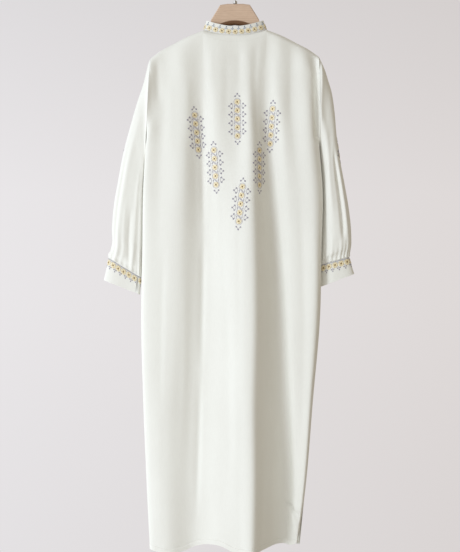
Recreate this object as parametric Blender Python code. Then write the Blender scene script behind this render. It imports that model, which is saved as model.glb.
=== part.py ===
"""Long ivory caftan, hanging with its back to the viewer on a wooden clothes hanger.

Sizes below are in millimetres and become metres when a mesh is made. +Z is up and the
origin is where the hook bears on the rod. The back faces -Y, the front faces +Y, and
left and right are the viewer's. Heights are written as drops below the origin.
"""
import math

import bpy
import numpy as np

MM = 0.001

CLOTH_WALL = 1.5
BAND_WALL = 2.0
SEAM_GAP = 0.3

# Shoulder line over the hanger: place across, and drop of the cloth's ridge
SHOULDER_ACROSS = (82, 125, 160, 190, 216)
SHOULDER_DROP = (143, 160, 178, 194, 213)
SHOULDER_TILT = 0.006
RIDGE_DEPTH = 12
RIDGE_HEIGHT = 14

# Neck seam, an oval that dips at the back and further at the front
NECK_HALF_WIDTH = 82
NECK_BACK_DEPTH = 24
NECK_FRONT_DEPTH = 26
NECK_BACK_DIP = 18
NECK_FRONT_DIP = 38
COLLAR_HEIGHT = 25
# Lean of the collar's top edge towards the neck, less at the middles of back and front
COLLAR_LEAN = 9
COLLAR_UPRIGHT = 0.55
SLIT_HALF_WIDTH = 1.25
SLIT_END = 440

# Armhole, an oval in a nearly upright plane at each side
TIP_ACROSS = 216
TIP_DROP = 213
UNDERARM_DROP = 440
UNDERARM_ACROSS = {"left": -227, "right": 216}
ARMHOLE_HALF_DEPTH = 34

VENT_TOP = 1342
VENT_HALF_OPENING = 12
HEM_DROP = 1465
# How much higher than that each panel's hem hangs, at places across
HEM_LIFTS = {
    "back": ((-218, -170, -125, -100, -68, -36, 0, 35, 69, 110, 139, 165),
             (0, -9, -2, 8, 15, 13, 0, -2, 4, 8, 12, 16)),
    "front": ((-218, -120, 0, 70, 120, 165), (0, 3, -2, 0, 8, 16)),
}

# Drops at which the fold tables give their numbers
LEVELS = (257, 350, 440, 560, 700, 880, 1092, 1298, HEM_DROP)
YOKE_DROP = LEVELS[0]

# Folds of the back, from its left edge to its right one. Columns: name, columns of faces
# up to the next fold, place at the top seam, place at each level, and how far the fold
# stands out towards the viewer at each level.
BACK_FOLDS = (
    ("left_edge", 2, -216, (-218, -223, -226, -229, -230, -235, -232, -224, -216), None),
    ("left_roll", 2, -205, (-206, -214, -222, -233, -235, -239, -233, -224, -215),
     (25, 31, 27, 24, 24, 24, 26, 28, 34)),
    ("left_dip", 4, -189, (-190, -190, -190, -192, -193, -195, -198, -195, -190),
     (21, 27, 29, 31, 33, 36, 38, 41, 45)),
    ("left_crest", 5, -139, (-139, -141, -141, -144, -149, -157, -167, -172, -170),
     (27, 33, 36, 38, 38, 38, 38, 41, 46)),
    ("left_valley", 6, -82, (-85, -90, -92, -89, -82, -83, -90, -99, -101),
     (20, 21, 19, 17, 16, 19, 25, 30, 34)),
    ("left_rise", 5, -48, (-51, -54, -49, -41, -36, -31, -33, -36, -36),
     (26, 32, 34, 34, 36, 41, 48, 54, 60)),
    ("middle", 3, 6, (8, 8, 5, 3, 5, 10, 8, 8, 8),
     (24, 31, 38, 46, 52, 59, 66, 72, 76)),
    ("main_crest", 3, 32, (38, 39, 44, 46, 48, 49, 44, 46, 42),
     (27, 38, 45, 52, 59, 66, 73, 81, 87)),
    ("main_flank", 5, 56, (56, 56, 62, 67, 73, 76, 74, 74, 71),
     (23, 29, 31, 31, 35, 40, 44, 48, 52)),
    ("main_valley", 3, 82, (76, 78, 83, 90, 103, 118, 131, 141, 139),
     (18, 20, 13, 6, 2, 0, -3, -5, -4)),
    ("right_crest", 2, 116, (116, 118, 126, 134, 141, 146, 152, 155, 149),
     (24, 32, 29, 25, 22, 20, 18, 14, 12)),
    ("right_dip", 2, 144, (144, 144, 152, 163, 170, 174, 170, 163, 155),
     (17, 21, 26, 27, 27, 26, 24, 22, 20)),
    ("outer_crest", 2, 177, (178, 181, 188, 199, 205, 200, 186, 170, 160),
     (24, 33, 32, 31, 31, 31, 30, 28, 26)),
    ("right_roll", 2, 203, (200, 201, 207, 214, 215, 211, 195, 178, 165),
     (21, 28, 24, 19, 16, 16, 16, 15, 16)),
    ("right_edge", 0, 216, (216, 216, 216, 224, 221, 217, 199, 182, 167), None),
)

# Folds of the front, from the same left edge to the same right one, standing out away
# from the viewer. The two middle rows are the edges of the neck slit.
FRONT_FOLDS = (
    ("left_edge", 2, -216, (-218, -223, -226, -229, -230, -235, -232, -224, -216), None),
    ("left_roll", 3, -205, (-206, -206, -208, -210, -211, -214, -214, -209, -204),
     (25, 34, 26, 21, 20, 20, 20, 22, 28)),
    ("left_outer_crest", 4, -160, (-160, -160, -163, -166, -168, -169, -170, -166, -160),
     (25, 36, 35, 35, 36, 38, 40, 43, 47)),
    ("left_valley", 6, -82, (-92, -100, -105, -108, -109, -108, -106, -104, -102),
     (20, 28, 22, 18, 14, 12, 10, 8, 10)),
    ("left_inner_crest", 4, -48, (-50, -52, -55, -58, -60, -62, -64, -64, -64),
     (27, 33, 32, 34, 36, 39, 42, 45, 49)),
    ("slit_left", 1, -SLIT_HALF_WIDTH, (-1.25, -1.25, -1.25, -4, -9, -13, -15, -17, -17),
     (26, 29, 27, 22, 18, 15, 12, 10, 12)),
    ("slit_right", 4, SLIT_HALF_WIDTH, (1.25, 1.25, 1.25, 0, -5, -9, -11, -13, -13),
     (26, 29, 27, 22, 18, 15, 12, 10, 12)),
    ("right_inner_crest", 6, 48, (50, 52, 53, 52, 50, 46, 40, 35, 30),
     (27, 33, 33, 35, 38, 41, 44, 47, 51)),
    ("right_valley", 4, 82, (92, 100, 104, 104, 101, 96, 89, 82, 76),
     (20, 28, 22, 18, 14, 11, 9, 8, 10)),
    ("right_outer_crest", 3, 160, (160, 162, 165, 166, 164, 157, 146, 134, 122),
     (25, 36, 34, 32, 31, 32, 34, 35, 37)),
    ("right_roll", 2, 203, (198, 198, 206, 211, 211, 208, 193, 177, 160),
     (22, 33, 26, 20, 17, 15, 14, 13, 15)),
    ("right_edge", 0, 216, (216, 216, 216, 224, 221, 217, 199, 182, 167), None),
)

# Rows of faces: parts of the way from the top seam to the yoke level, then drops
YOKE_STEPS = (0, 0.04, 0.12, 0.26, 0.46, 0.72)
BACK_ROWS = (257, 300, 345, 390, 418, 432, 440, 500, 570, 650, 740, 835, 930, 1030, 1130,
             1235, VENT_TOP, 1405, HEM_DROP)
FRONT_ROWS = (257, 320, 390, 418, 432, 440, 520, 640, 780, 930, 1090, 1235, VENT_TOP,
              1405, HEM_DROP)

# Rings of each sleeve from the armhole to the cuff. Columns: across and drop of the
# outer line, across and drop of the inner line, depth on the near side and on the far
# side, and how far the inner line is turned back.
SLEEVE_RINGS = {
    "left": (
        (-222, 227, -231.5, 452, 36, 40, 0),
        (-227, 247, -234, 470, 34, 46, 0),
        (-236, 283, -235.5, 490, 31, 54, 0),
        (-249, 321, -237, 512, 28, 62, 0),
        (-275, 386, -238, 542, 26, 72, 0),
        (-295, 450, -238.5, 572, 24, 78, 0),
        (-303, 527, -239, 608, 23, 80, 0),
        (-311, 591, -239, 648, 23, 78, 0),
        (-316, 655, -239.5, 694, 22, 70, 0),
        (-315, 690, -240, 726, 21, 56, 0),
        (-319, 710, -241, 750, 19, 38, 0),
    ),
    "right": (
        (222, 227, 220.5, 452, 36, 40, 0),
        (230, 245, 223, 470, 37, 46, 0),
        (238, 270, 225, 492, 37, 54, 0),
        (247, 300, 227, 516, 37, 60, 0),
        (255, 352, 228.5, 544, 37, 66, 1),
        (260, 410, 229, 574, 37, 72, 3),
        (269, 474, 229.5, 606, 38, 74, 5),
        (281, 538, 229.5, 642, 38, 72, 6),
        (292, 602, 229.5, 680, 37, 66, 7),
        (298, 660, 229.5, 706, 33, 54, 8),
        (297, 694, 230, 726, 26, 38, 8),
    ),
}
# How square a sleeve's near side is: 1 is an ellipse, less is squarer
SLEEVE_SQUARENESS = 0.66
# Top and bottom edge of each cuff, in the same columns
CUFF_EDGES = {
    "left": ((-324, 727, -241, 777, 15, 15, 0), (-337, 784, -244, 821, 17, 17, 0)),
    "right": ((293, 725, 230, 744, 15, 15, 8), (306, 768, 229, 801, 17, 17, 8)),
}
SLEEVE_POINTS = 48
SLEEVE_LAST_STEP = 8
# Gathers above each cuff: their depth, and how far up each one of a group runs
GATHER_DEPTH = 2.2
GATHER_RISE = (70, 45, 85, 55, 95, 60)
# Long folds down each sleeve: depth, how many cross it, where the first one lies, and
# the number of rings over which they grow from the armhole and fade above the cuff
LONG_FOLD_DEPTH = 5.0
LONG_FOLDS = 2
LONG_FOLD_START = 0.15
LONG_FOLD_GROWTH = 5
LONG_FOLD_FADE = 3
# Start and end of each cuff's slit at its lower edge, as shares of the way round
CUFF_SLIT = {"left": (0.40, 0.435), "right": (0.49, 0.525)}

HANGER_THICKNESS = 14
# Top line of the hanger's bare middle and its whole lower line: across, drop
HANGER_TOP = ((0, 74.5), (30, 74.5), (38, 77), (61, 114), (71, 147), (84, 150), (104, 156))
HANGER_BOTTOM = ((0, 129), (31, 134), (60, 152), (90, 180), (150, 204), (196, 222), (208, 222))
HANGER_STATIONS = (0, 20, 38, 50, 61, 71, 84, 104, 125, 145, 165, 185, 200, 207)
# Drop of the hanger's top below the cloth's ridge, where it just clears the cloth
HANGER_SEAT = 3.3
HANGER_SECTION_POINTS = 12
HANGER_EDGE_ROUNDING = 0.8
HANGER_END_SHARE = 0.6

HOOK_ROD_RADIUS = 1.9
HOOK_INNER_RADIUS = 20
HOOK_TIP_ANGLE = 195
HOOK_TURN_ANGLE = -58
HOOK_CURVE_STEPS = 18
# Stretch between the curve and the straight stem
HOOK_BEND_HEIGHT = 9
HOOK_BEND_ACROSS = 2.2
HOOK_STEM_HEIGHT = 8
FERRULE_RADIUS = 5.5
FERRULE_HEIGHT = 6
FERRULE_EDGE = 0.4

IVORY = (0.76, 0.75, 0.70)
WOOD = (0.47, 0.30, 0.19)
STEEL = (0.62, 0.61, 0.60)


def smooth_value(places, values, place):
    """Value at a place on a smooth curve through values at rising places."""
    places = np.asarray(places, dtype=float)
    values = np.asarray(values, dtype=float)
    if place <= places[0]:
        return values[0]
    if place >= places[-1]:
        return values[-1]
    slopes = np.gradient(values, places)
    at = int(np.searchsorted(places, place)) - 1
    step = places[at + 1] - places[at]
    t = (place - places[at]) / step
    return hermite(values[at], values[at + 1], slopes[at] * step, slopes[at + 1] * step, t)


def hermite(start, end, start_slope, end_slope, t):
    """Point at t on a cubic with the given ends and end slopes."""
    return ((2 * t ** 3 - 3 * t ** 2 + 1) * start + (t ** 3 - 2 * t ** 2 + t) * start_slope
            + (3 * t ** 2 - 2 * t ** 3) * end + (t ** 3 - t ** 2) * end_slope)


def smooth_line(points, before, after, counts):
    """Points along a smooth curve, counts[i] of them from points[i] to the next."""
    chain = [np.asarray(p, dtype=float) for p in (before, *points, after)]
    steps = [max(np.linalg.norm(b - a), 1e-6) for a, b in zip(chain, chain[1:])]
    slopes = []
    for i in range(1, len(chain) - 1):
        back = (chain[i] - chain[i - 1]) / steps[i - 1]
        ahead = (chain[i + 1] - chain[i]) / steps[i]
        slopes.append((back * steps[i] + ahead * steps[i - 1]) / (steps[i] + steps[i - 1]))
    line = []
    for i in range(len(points) - 1):
        step = steps[i + 1]
        for k in range(counts[i]):
            line.append(hermite(chain[i + 1], chain[i + 2], slopes[i] * step,
                                slopes[i + 1] * step, k / counts[i]))
    line.append(chain[-2])
    return line


def ease(t):
    """Zero to one with level ends."""
    t = min(max(t, 0), 1)
    return t * t * (3 - 2 * t)


def ridge_drop(across):
    """Drop of the shoulder's ridge at a place across."""
    drop = smooth_value(SHOULDER_ACROSS, SHOULDER_DROP, abs(across))
    return drop - SHOULDER_TILT * across


def neck_point(angle):
    """Point of the neck seam. Angle 0 is the middle of the back."""
    back = math.cos(angle)
    depth = NECK_BACK_DEPTH if back > 0 else NECK_FRONT_DEPTH
    dip = NECK_BACK_DIP if back > 0 else NECK_FRONT_DIP
    across = NECK_HALF_WIDTH * math.sin(angle)
    drop = SHOULDER_DROP[0] + dip * back ** 2 - SHOULDER_TILT * across
    return np.array((across, -depth * back, -drop))


def armhole_across(side, drop):
    """Place across of the armhole's plane at a drop."""
    tip = -TIP_ACROSS if side == "left" else TIP_ACROSS
    part = (drop - TIP_DROP) / (UNDERARM_DROP - TIP_DROP)
    return tip + (UNDERARM_ACROSS[side] - tip) * part


def armhole_depth(drop):
    """Half the armhole's width from front to back at a drop."""
    middle = (TIP_DROP + UNDERARM_DROP) / 2
    half = (UNDERARM_DROP - TIP_DROP) / 2
    part = (drop - middle) / half
    return ARMHOLE_HALF_DEPTH * math.sqrt(max(0, 1 - part * part))


def edge_depth(drop):
    """How far a panel's side edge stands off the side seam's plane."""
    if drop < UNDERARM_DROP:
        return max(armhole_depth(drop), SEAM_GAP / 2)
    vent = max(0, drop - VENT_TOP) / (HEM_DROP - VENT_TOP)
    return SEAM_GAP / 2 + VENT_HALF_OPENING * vent ** 1.3


def fold_places(folds, drop):
    """Places across and out of all folds of a panel at a drop."""
    places = []
    for name, _, _, across, out in folds:
        x = smooth_value(LEVELS, across, drop)
        if out is None:
            if drop < UNDERARM_DROP:
                x = armhole_across(name.split("_")[0], drop)
            places.append((x, edge_depth(drop)))
        else:
            places.append((x, smooth_value(LEVELS, out, drop)))
    return places


def end_guide(edge, roll, drop):
    """Point past a panel's edge: a mirrored one at a seam, one straight on at an armhole."""
    mirrored = np.array((roll[0], -roll[1]))
    straight = 2 * np.array(edge) - np.array(roll)
    free = ease(armhole_depth(drop) / 15) if drop < UNDERARM_DROP else 0
    return mirrored * (1 - free) + straight * free


def panel_section(folds, drop):
    """Points (across, out) of a panel's section at a drop."""
    places = fold_places(folds, drop)
    before = end_guide(places[0], places[1], drop)
    after = end_guide(places[-1], places[-2], drop)
    return smooth_line(places, before, after, [fold[1] for fold in folds])


def neck_angle(across, facing):
    """Angle on the neck seam at a place across, on the back (-1) or the front (1)."""
    angle = math.asin(max(-1, min(1, across / NECK_HALF_WIDTH)))
    if facing < 0:
        return angle
    return math.copysign(math.pi, angle) - angle


def top_seam(folds, facing):
    """Top edge of a panel: one (point, neck share) for each column of points."""
    seam = []
    for fold, following in zip(folds, folds[1:]):
        for k in range(fold[1]):
            seam.append(seam_point(fold[2], following[2], k / fold[1], facing))
    seam.append(seam_point(folds[-1][2], folds[-1][2], 0, facing))
    return seam


def seam_point(start, end, part, facing):
    """Point between two folds' places at the top seam, and its share of the neck."""
    if max(abs(start), abs(end)) <= NECK_HALF_WIDTH:
        first = neck_angle(start, facing)
        angle = first + (neck_angle(end, facing) - first) * part
        point = neck_point(angle) - np.array((0, 0, SEAM_GAP))
        point[1] = facing * max(abs(point[1]), SEAM_GAP / 2)
        return point, abs(math.cos(angle))
    across = start + (end - start) * part
    drop = ridge_drop(across)
    if abs(across) <= NECK_HALF_WIDTH:
        drop = drop + SEAM_GAP
    return np.array((across, facing * SEAM_GAP / 2, -drop)), 0


def yoke_point(start, neck_share, section_point, facing, part):
    """Point of a column between the top seam and the yoke level."""
    across = start[0] + (section_point[0] - start[0]) * part
    z = start[2] + (-YOKE_DROP - start[2]) * part
    rounding = min(1, (start[2] - z) / RIDGE_HEIGHT)
    bulge = RIDGE_DEPTH * (1 - neck_share) * math.sqrt(1 - (1 - rounding) ** 2)
    rest = section_point[1] - abs(start[1]) - RIDGE_DEPTH * (1 - neck_share)
    return np.array((across, facing * (abs(start[1]) + bulge + rest * part), z))


def edge_column_point(side, start, part, facing):
    """Point of a panel's edge along the armhole, above the yoke level."""
    z = start[2] + (-YOKE_DROP - start[2]) * part
    out = edge_depth(-z)
    return np.array((armhole_across(side, -z), facing * out, z))


def panel_grid(folds, rows, facing):
    """Outer points of a panel, a row of points for each height."""
    seam = top_seam(folds, facing)
    yoke = panel_section(folds, YOKE_DROP)
    last = len(seam) - 1
    grid = []
    for part in YOKE_STEPS:
        row = []
        for i, (start, neck_share) in enumerate(seam):
            if i in (0, last):
                side = "left" if i == 0 else "right"
                row.append(edge_column_point(side, start, part, facing))
            else:
                row.append(yoke_point(start, neck_share, yoke[i], facing, part))
        grid.append(row)
    for drop in rows:
        section = panel_section(folds, drop)
        grid.append([np.array((x, facing * out, -drop)) for x, out in section])
    places, lifts = HEM_LIFTS["back" if facing < 0 else "front"]
    for point in grid[-1]:
        point[2] += smooth_value(places, lifts, point[0])
    return np.array(grid)


def grid_normals(grid, outward, closed=False):
    """Unit normals of a grid of points. Outward turns them the right way."""
    down = np.gradient(grid, axis=0)
    if closed:
        along = np.roll(grid, -1, axis=1) - np.roll(grid, 1, axis=1)
    else:
        along = np.gradient(grid, axis=1)
    normals = np.cross(along, down) * outward
    return normals / np.linalg.norm(normals, axis=2, keepdims=True)


def into_plane(normal, plane_normal):
    """Normal turned to lie in a seam's plane."""
    flat = normal - np.dot(normal, plane_normal) * plane_normal
    return flat / np.linalg.norm(flat)


def armhole_normal(side):
    """Normal of the armhole's plane."""
    run = armhole_across(side, UNDERARM_DROP) - armhole_across(side, TIP_DROP)
    normal = np.array((UNDERARM_DROP - TIP_DROP, 0, run), dtype=float)
    return normal / np.linalg.norm(normal)


def new_material(name, colour, roughness, metallic=0.0):
    """Plain Principled material."""
    material = bpy.data.materials.new(name)
    material.use_nodes = True
    shader = material.node_tree.nodes["Principled BSDF"]
    shader.inputs["Base Color"].default_value = (*colour, 1)
    shader.inputs["Roughness"].default_value = roughness
    shader.inputs["Metallic"].default_value = metallic
    return material


def add_object(name, data, material):
    """Object of a mesh or curve in the scene."""
    data.materials.append(material)
    item = bpy.data.objects.new(name, data)
    bpy.context.collection.objects.link(item)
    return item


def add_mesh(name, points, faces, material):
    """Smooth shaded mesh object from points in millimetres."""
    mesh = bpy.data.meshes.new(name)
    mesh.from_pydata([tuple(p * MM for p in point) for point in points], [], faces)
    mesh.shade_smooth()
    mesh.set_sharp_from_angle(angle=math.radians(50))
    return add_object(name, mesh, material)


def add_wall(name, grid, normals, thickness, material, outward, closed=False, left_out=()):
    """Closed wall between a grid of outer points and the same points moved inwards."""
    rows, columns = grid.shape[:2]
    outer = grid.reshape(-1, 3)
    inner = (grid - normals * thickness).reshape(-1, 3)
    offset = len(outer)
    quads = []
    for r in range(rows - 1):
        for c in range(columns if closed else columns - 1):
            if (r, c) in left_out:
                continue
            following = (c + 1) % columns
            quad = (r * columns + c, r * columns + following,
                    (r + 1) * columns + following, (r + 1) * columns + c)
            quads.append(quad if outward > 0 else quad[::-1])
    edges = {(quad[i], quad[(i + 1) % 4]) for quad in quads for i in range(4)}
    rims = [(b, a, a + offset, b + offset) for a, b in sorted(edges) if (b, a) not in edges]
    linings = [tuple(i + offset for i in reversed(quad)) for quad in quads]
    return add_mesh(name, np.vstack((outer, inner)), quads + linings + rims, material)


def panel_shape(folds, rows, facing):
    """Outer points and normals of the back (facing -1) or the front (facing 1)."""
    grid = panel_grid(folds, rows, facing)
    normals = grid_normals(grid, facing)
    depth_axis = np.array((0, 1.0, 0))
    drops = -grid[:, 0, 2]
    for column, side in ((0, "left"), (-1, "right")):
        for r, drop in enumerate(drops):
            if drop < UNDERARM_DROP - 0.01:
                normals[r, column] = into_plane(normals[r, column], armhole_normal(side))
            elif drop < VENT_TOP + 0.01:
                normals[r, column] = into_plane(normals[r, column], depth_axis)
    for c in range(grid.shape[1]):
        if abs(grid[0, c, 0]) > NECK_HALF_WIDTH - SEAM_GAP:
            normals[0, c] = into_plane(normals[0, c], depth_axis)
    for column in (0, -1):
        normals[0, column] = np.array((0, 0, 1.0))
    return grid, normals


def make_back(material):
    """Back of the caftan, from neck to hem."""
    grid, normals = panel_shape(BACK_FOLDS, BACK_ROWS, -1)
    add_wall("back_panel", grid, normals, CLOTH_WALL, material, -1)


def make_front(material):
    """Front with its neck slit, which is a narrow column of faces left out."""
    grid, normals = panel_shape(FRONT_FOLDS, FRONT_ROWS, 1)
    names = [fold[0] for fold in FRONT_FOLDS]
    slit_column = sum(fold[1] for fold in FRONT_FOLDS[:names.index("slit_left")])
    slit_rows = len(YOKE_STEPS) + FRONT_ROWS.index(SLIT_END)
    slit = {(r, slit_column) for r in range(slit_rows)}
    add_wall("front_panel", grid, normals, CLOTH_WALL, material, 1, left_out=slit)


def neck_angles():
    """Angles of all panel columns round the neck, from slit to slit by way of the back."""
    angles = []
    for folds, facing in ((BACK_FOLDS, -1), (FRONT_FOLDS, 1)):
        for fold, following in zip(folds, folds[1:]):
            if max(abs(fold[2]), abs(following[2])) <= NECK_HALF_WIDTH:
                first = neck_angle(fold[2], facing)
                last = neck_angle(following[2], facing)
                if abs(last - first) < math.pi:
                    angles += [first + (last - first) * k / fold[1] for k in range(fold[1] + 1)]
    angles = sorted(angles)
    return [a for i, a in enumerate(angles) if i == 0 or a - angles[i - 1] > 1e-6]


def make_collar(material):
    """Standing collar band, open at the middle of the front."""
    rows = []
    for part in (1.0, 0.5, 0.0):
        row = []
        for angle in neck_angles():
            point = neck_point(angle)
            inward = point[:2] / np.linalg.norm(point[:2])
            lean = COLLAR_LEAN * part * (1 - COLLAR_UPRIGHT * (1 - abs(math.sin(angle))))
            point[:2] = point[:2] - inward * lean
            point[2] = point[2] + COLLAR_HEIGHT * part
            row.append(point)
        rows.append(row)
    grid = np.array(rows)
    normals = grid_normals(grid, -1)
    up = np.array((0, 0, 1.0))
    for c in range(grid.shape[1]):
        normals[-1, c] = into_plane(normals[-1, c], up)
    add_wall("collar", grid, normals, BAND_WALL, material, -1)


def ring_frame(ring):
    """Middle of a sleeve ring, and its half axes outwards, to the near and to the far side."""
    outer_x, outer_drop, inner_x, inner_drop, near, far, turn = ring
    outer = np.array((outer_x, -turn, -outer_drop), dtype=float)
    inner = np.array((inner_x, turn, -inner_drop), dtype=float)
    middle = (outer + inner) / 2
    half = (outer - inner) / 2
    across = half / np.linalg.norm(half)
    sideways = np.array((0, 1.0, 0)) - across[1] * across
    sideways = sideways / np.linalg.norm(sideways)
    return middle, half, -sideways * near, sideways * far


def ring_radius(ring, turn):
    """From a ring's middle to its point at an angle from the outer line over the near side."""
    _, half, near, far = ring_frame(ring)
    outwards = math.cos(turn)
    sideways = abs(math.sin(turn))
    if math.sin(turn) <= 0:
        return half * outwards + far * sideways
    outwards = math.copysign(abs(outwards) ** SLEEVE_SQUARENESS, outwards)
    return half * outwards + near * sideways ** SLEEVE_SQUARENESS


def ring_points(ring, pleats, long_fold):
    """Points round a sleeve ring, from its outer line over the near side."""
    middle = ring_frame(ring)[0]
    points = []
    for k in range(SLEEVE_POINTS):
        turn = 2 * math.pi * k / SLEEVE_POINTS
        radial = ring_radius(ring, turn)
        part = (1 - math.cos(turn)) / 2
        wave = math.cos(2 * math.pi * LONG_FOLDS * (part - LONG_FOLD_START))
        wave = wave * long_fold * abs(math.sin(turn))
        reach = wave + (pleats[k] if k % 2 else -pleats[k])
        points.append(middle + radial + radial / np.linalg.norm(radial) * reach)
    return points


def armhole_ring(side):
    """The sleeve's first ring, on the armhole's seam."""
    outwards = -1 if side == "left" else 1
    middle = (TIP_DROP + UNDERARM_DROP) / 2
    half = (UNDERARM_DROP - TIP_DROP) / 2
    points = []
    for k in range(SLEEVE_POINTS):
        turn = 2 * math.pi * k / SLEEVE_POINTS
        drop = middle - half * math.cos(turn)
        near = -ARMHOLE_HALF_DEPTH * math.sin(turn)
        points.append((armhole_across(side, drop) + outwards * SEAM_GAP, near, -drop))
    return points


def pleat_sizes(ring, cuff):
    """Size of the gathers at each point of a ring, growing towards the cuff."""
    above = (cuff[1] + cuff[3]) / 2 - (ring[1] + ring[3]) / 2
    sizes = []
    for k in range(SLEEVE_POINTS):
        rise = GATHER_RISE[(k // 2) % len(GATHER_RISE)]
        sizes.append(GATHER_DEPTH * ease(1 - above / rise))
    return sizes


def raised(ring, distance):
    """Sleeve ring moved up by a distance."""
    return (ring[0], ring[1] - distance, ring[2], ring[3] - distance, *ring[4:])


def make_sleeve(side, material):
    """Long sleeve, a tube from the armhole to the gathers at its cuff."""
    outward = 1 if side == "left" else -1
    cuff = CUFF_EDGES[side][0]
    rings = [*SLEEVE_RINGS[side], raised(cuff, SLEEVE_LAST_STEP), raised(cuff, SEAM_GAP)]
    grid = [armhole_ring(side)]
    for i, ring in enumerate(rings):
        fade = ease((len(rings) - 1 - i) / LONG_FOLD_FADE)
        long_fold = LONG_FOLD_DEPTH * ease(i / LONG_FOLD_GROWTH) * fade
        grid.append(ring_points(ring, pleat_sizes(ring, cuff), long_fold))
    grid = np.array(grid)
    normals = grid_normals(grid, outward, closed=True)
    cuff_normal = ring_normal(rings[-1])
    for c in range(SLEEVE_POINTS):
        normals[0, c] = into_plane(normals[0, c], armhole_normal(side))
        normals[-1, c] = into_plane(normals[-1, c], cuff_normal)
    add_wall("sleeve_" + side, grid, normals, CLOTH_WALL, material, outward, closed=True)


def ring_normal(ring):
    """Unit normal of a ring's plane."""
    _, half, _, far = ring_frame(ring)
    normal = np.cross(half, far)
    return normal / np.linalg.norm(normal)


def make_cuff(side, material):
    """Cuff band, open at the inner end of its near side."""
    outward = 1 if side == "left" else -1
    top, bottom = CUFF_EDGES[side]
    start, end = CUFF_SLIT[side]
    rows = []
    for part in (0, 0.5, 1):
        ring = [a + (b - a) * part for a, b in zip(top, bottom)]
        middle = ring_frame(ring)[0]
        row = []
        narrowing = (end - start) * (0.4 - 0.4 * part)
        for k in range(SLEEVE_POINTS):
            opening = end - narrowing
            closing = start + narrowing
            share = opening + (1 + closing - opening) * k / (SLEEVE_POINTS - 1)
            turn = 2 * math.pi * share
            row.append(middle + ring_radius(ring, turn))
        rows.append(row)
    grid = np.array(rows)
    normals = grid_normals(grid, outward)
    seam_normal = ring_normal(top)
    for c in range(SLEEVE_POINTS):
        normals[0, c] = into_plane(normals[0, c], seam_normal)
    add_wall("cuff_" + side, grid, normals, BAND_WALL, material, outward)


def hanger_top(across):
    """Drop of the hanger's top line, which lies under the cloth's ridge."""
    if abs(across) <= HANGER_TOP[-1][0]:
        places, drops = zip(*HANGER_TOP)
        return float(np.interp(abs(across), places, drops)) - SHOULDER_TILT * across
    return ridge_drop(across) + HANGER_SEAT


def make_hanger(material):
    """Wooden hanger: rounded sections from one arm's end to the other."""
    places, drops = zip(*HANGER_BOTTOM)
    stations = [-x for x in reversed(HANGER_STATIONS[1:])] + list(HANGER_STATIONS)
    points = []
    for across in stations:
        top = hanger_top(across)
        bottom = float(np.interp(abs(across), places, drops)) - SHOULDER_TILT * across
        taper = HANGER_END_SHARE if abs(across) == HANGER_STATIONS[-1] else 1.0
        half_height = (bottom - top) / 2 * taper
        for k in range(HANGER_SECTION_POINTS):
            turn = 2 * math.pi * (k + 0.5) / HANGER_SECTION_POINTS
            width = HANGER_THICKNESS / 2 * taper
            corner = min(width, half_height)
            bulge = abs(math.cos(turn)) ** HANGER_EDGE_ROUNDING
            y = width * math.copysign(bulge, math.cos(turn))
            rise = corner * math.sin(turn) + math.copysign(half_height - corner, math.sin(turn))
            points.append((across, y, -(top + bottom) / 2 + rise))
    count = HANGER_SECTION_POINTS
    faces = []
    for s in range(len(stations) - 1):
        for k in range(count):
            following = (k + 1) % count
            faces.append((s * count + k, s * count + following,
                          (s + 1) * count + following, (s + 1) * count + k))
    faces.append(tuple(reversed(range(count))))
    faces.append(tuple(range(len(points) - count, len(points))))
    add_mesh("hanger", points, faces, material)


def hook_line():
    """Middle line of the hook's rod, from its tip over the top to the ferrule."""
    radius = HOOK_INNER_RADIUS + HOOK_ROD_RADIUS
    line = []
    for k in range(HOOK_CURVE_STEPS + 1):
        share = k / HOOK_CURVE_STEPS
        angle = math.radians(HOOK_TIP_ANGLE + (HOOK_TURN_ANGLE - HOOK_TIP_ANGLE) * share)
        line.append((radius * math.cos(angle), -HOOK_INNER_RADIUS + radius * math.sin(angle)))
    foot = -HANGER_TOP[0][1] + SEAM_GAP
    stem = (0, foot + FERRULE_HEIGHT + HOOK_STEM_HEIGHT)
    bend = (HOOK_BEND_ACROSS, stem[1] + HOOK_BEND_HEIGHT)
    rest = smooth_line([line[-1], bend, stem], line[-2], (0, foot), [3, 3])
    return line + [tuple(p) for p in rest[1:]], foot


def make_hook(material):
    """Steel hook with a ferrule at its foot, one round rod."""
    line, foot = hook_line()
    ferrule_top = foot + FERRULE_HEIGHT
    thick = FERRULE_RADIUS / HOOK_ROD_RADIUS
    stations = [(x, z, 1.0) for x, z in line]
    stations += [(0, ferrule_top + FERRULE_EDGE, 1.0), (0, ferrule_top, thick),
                 (0, foot, thick)]
    curve = bpy.data.curves.new("hanger_hook", "CURVE")
    curve.dimensions = "3D"
    curve.bevel_depth = HOOK_ROD_RADIUS * MM
    curve.bevel_resolution = 2
    curve.use_fill_caps = True
    rod = curve.splines.new("POLY")
    rod.points.add(len(stations) - 1)
    for point, (x, z, size) in zip(rod.points, stations):
        point.co = (x * MM, 0, z * MM, 1)
        point.radius = size
    add_object("hanger_hook", curve, material)


def main():
    for item in list(bpy.data.objects):
        bpy.data.objects.remove(item, do_unlink=True)
    cloth = new_material("ivory_cloth", IVORY, 0.85)
    make_back(cloth)
    make_front(cloth)
    make_collar(new_material("collar_cloth", IVORY, 0.85))
    for side in ("left", "right"):
        make_sleeve(side, cloth)
        make_cuff(side, new_material("cuff_cloth_" + side, IVORY, 0.85))
    make_hanger(new_material("hanger_wood", WOOD, 0.45))
    make_hook(new_material("hook_steel", STEEL, 0.3, 1.0))


main()
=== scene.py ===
"""Looks of the long ivory caftan on its hanger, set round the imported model.

Sizes are in millimetres and become metres when a mesh is made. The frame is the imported
model's: +Z up, origin where the hook bears on the rod, the garment's back towards -Y.
Left and right are the viewer's. Heights are written as drops below the origin.
"""
import math

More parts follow.
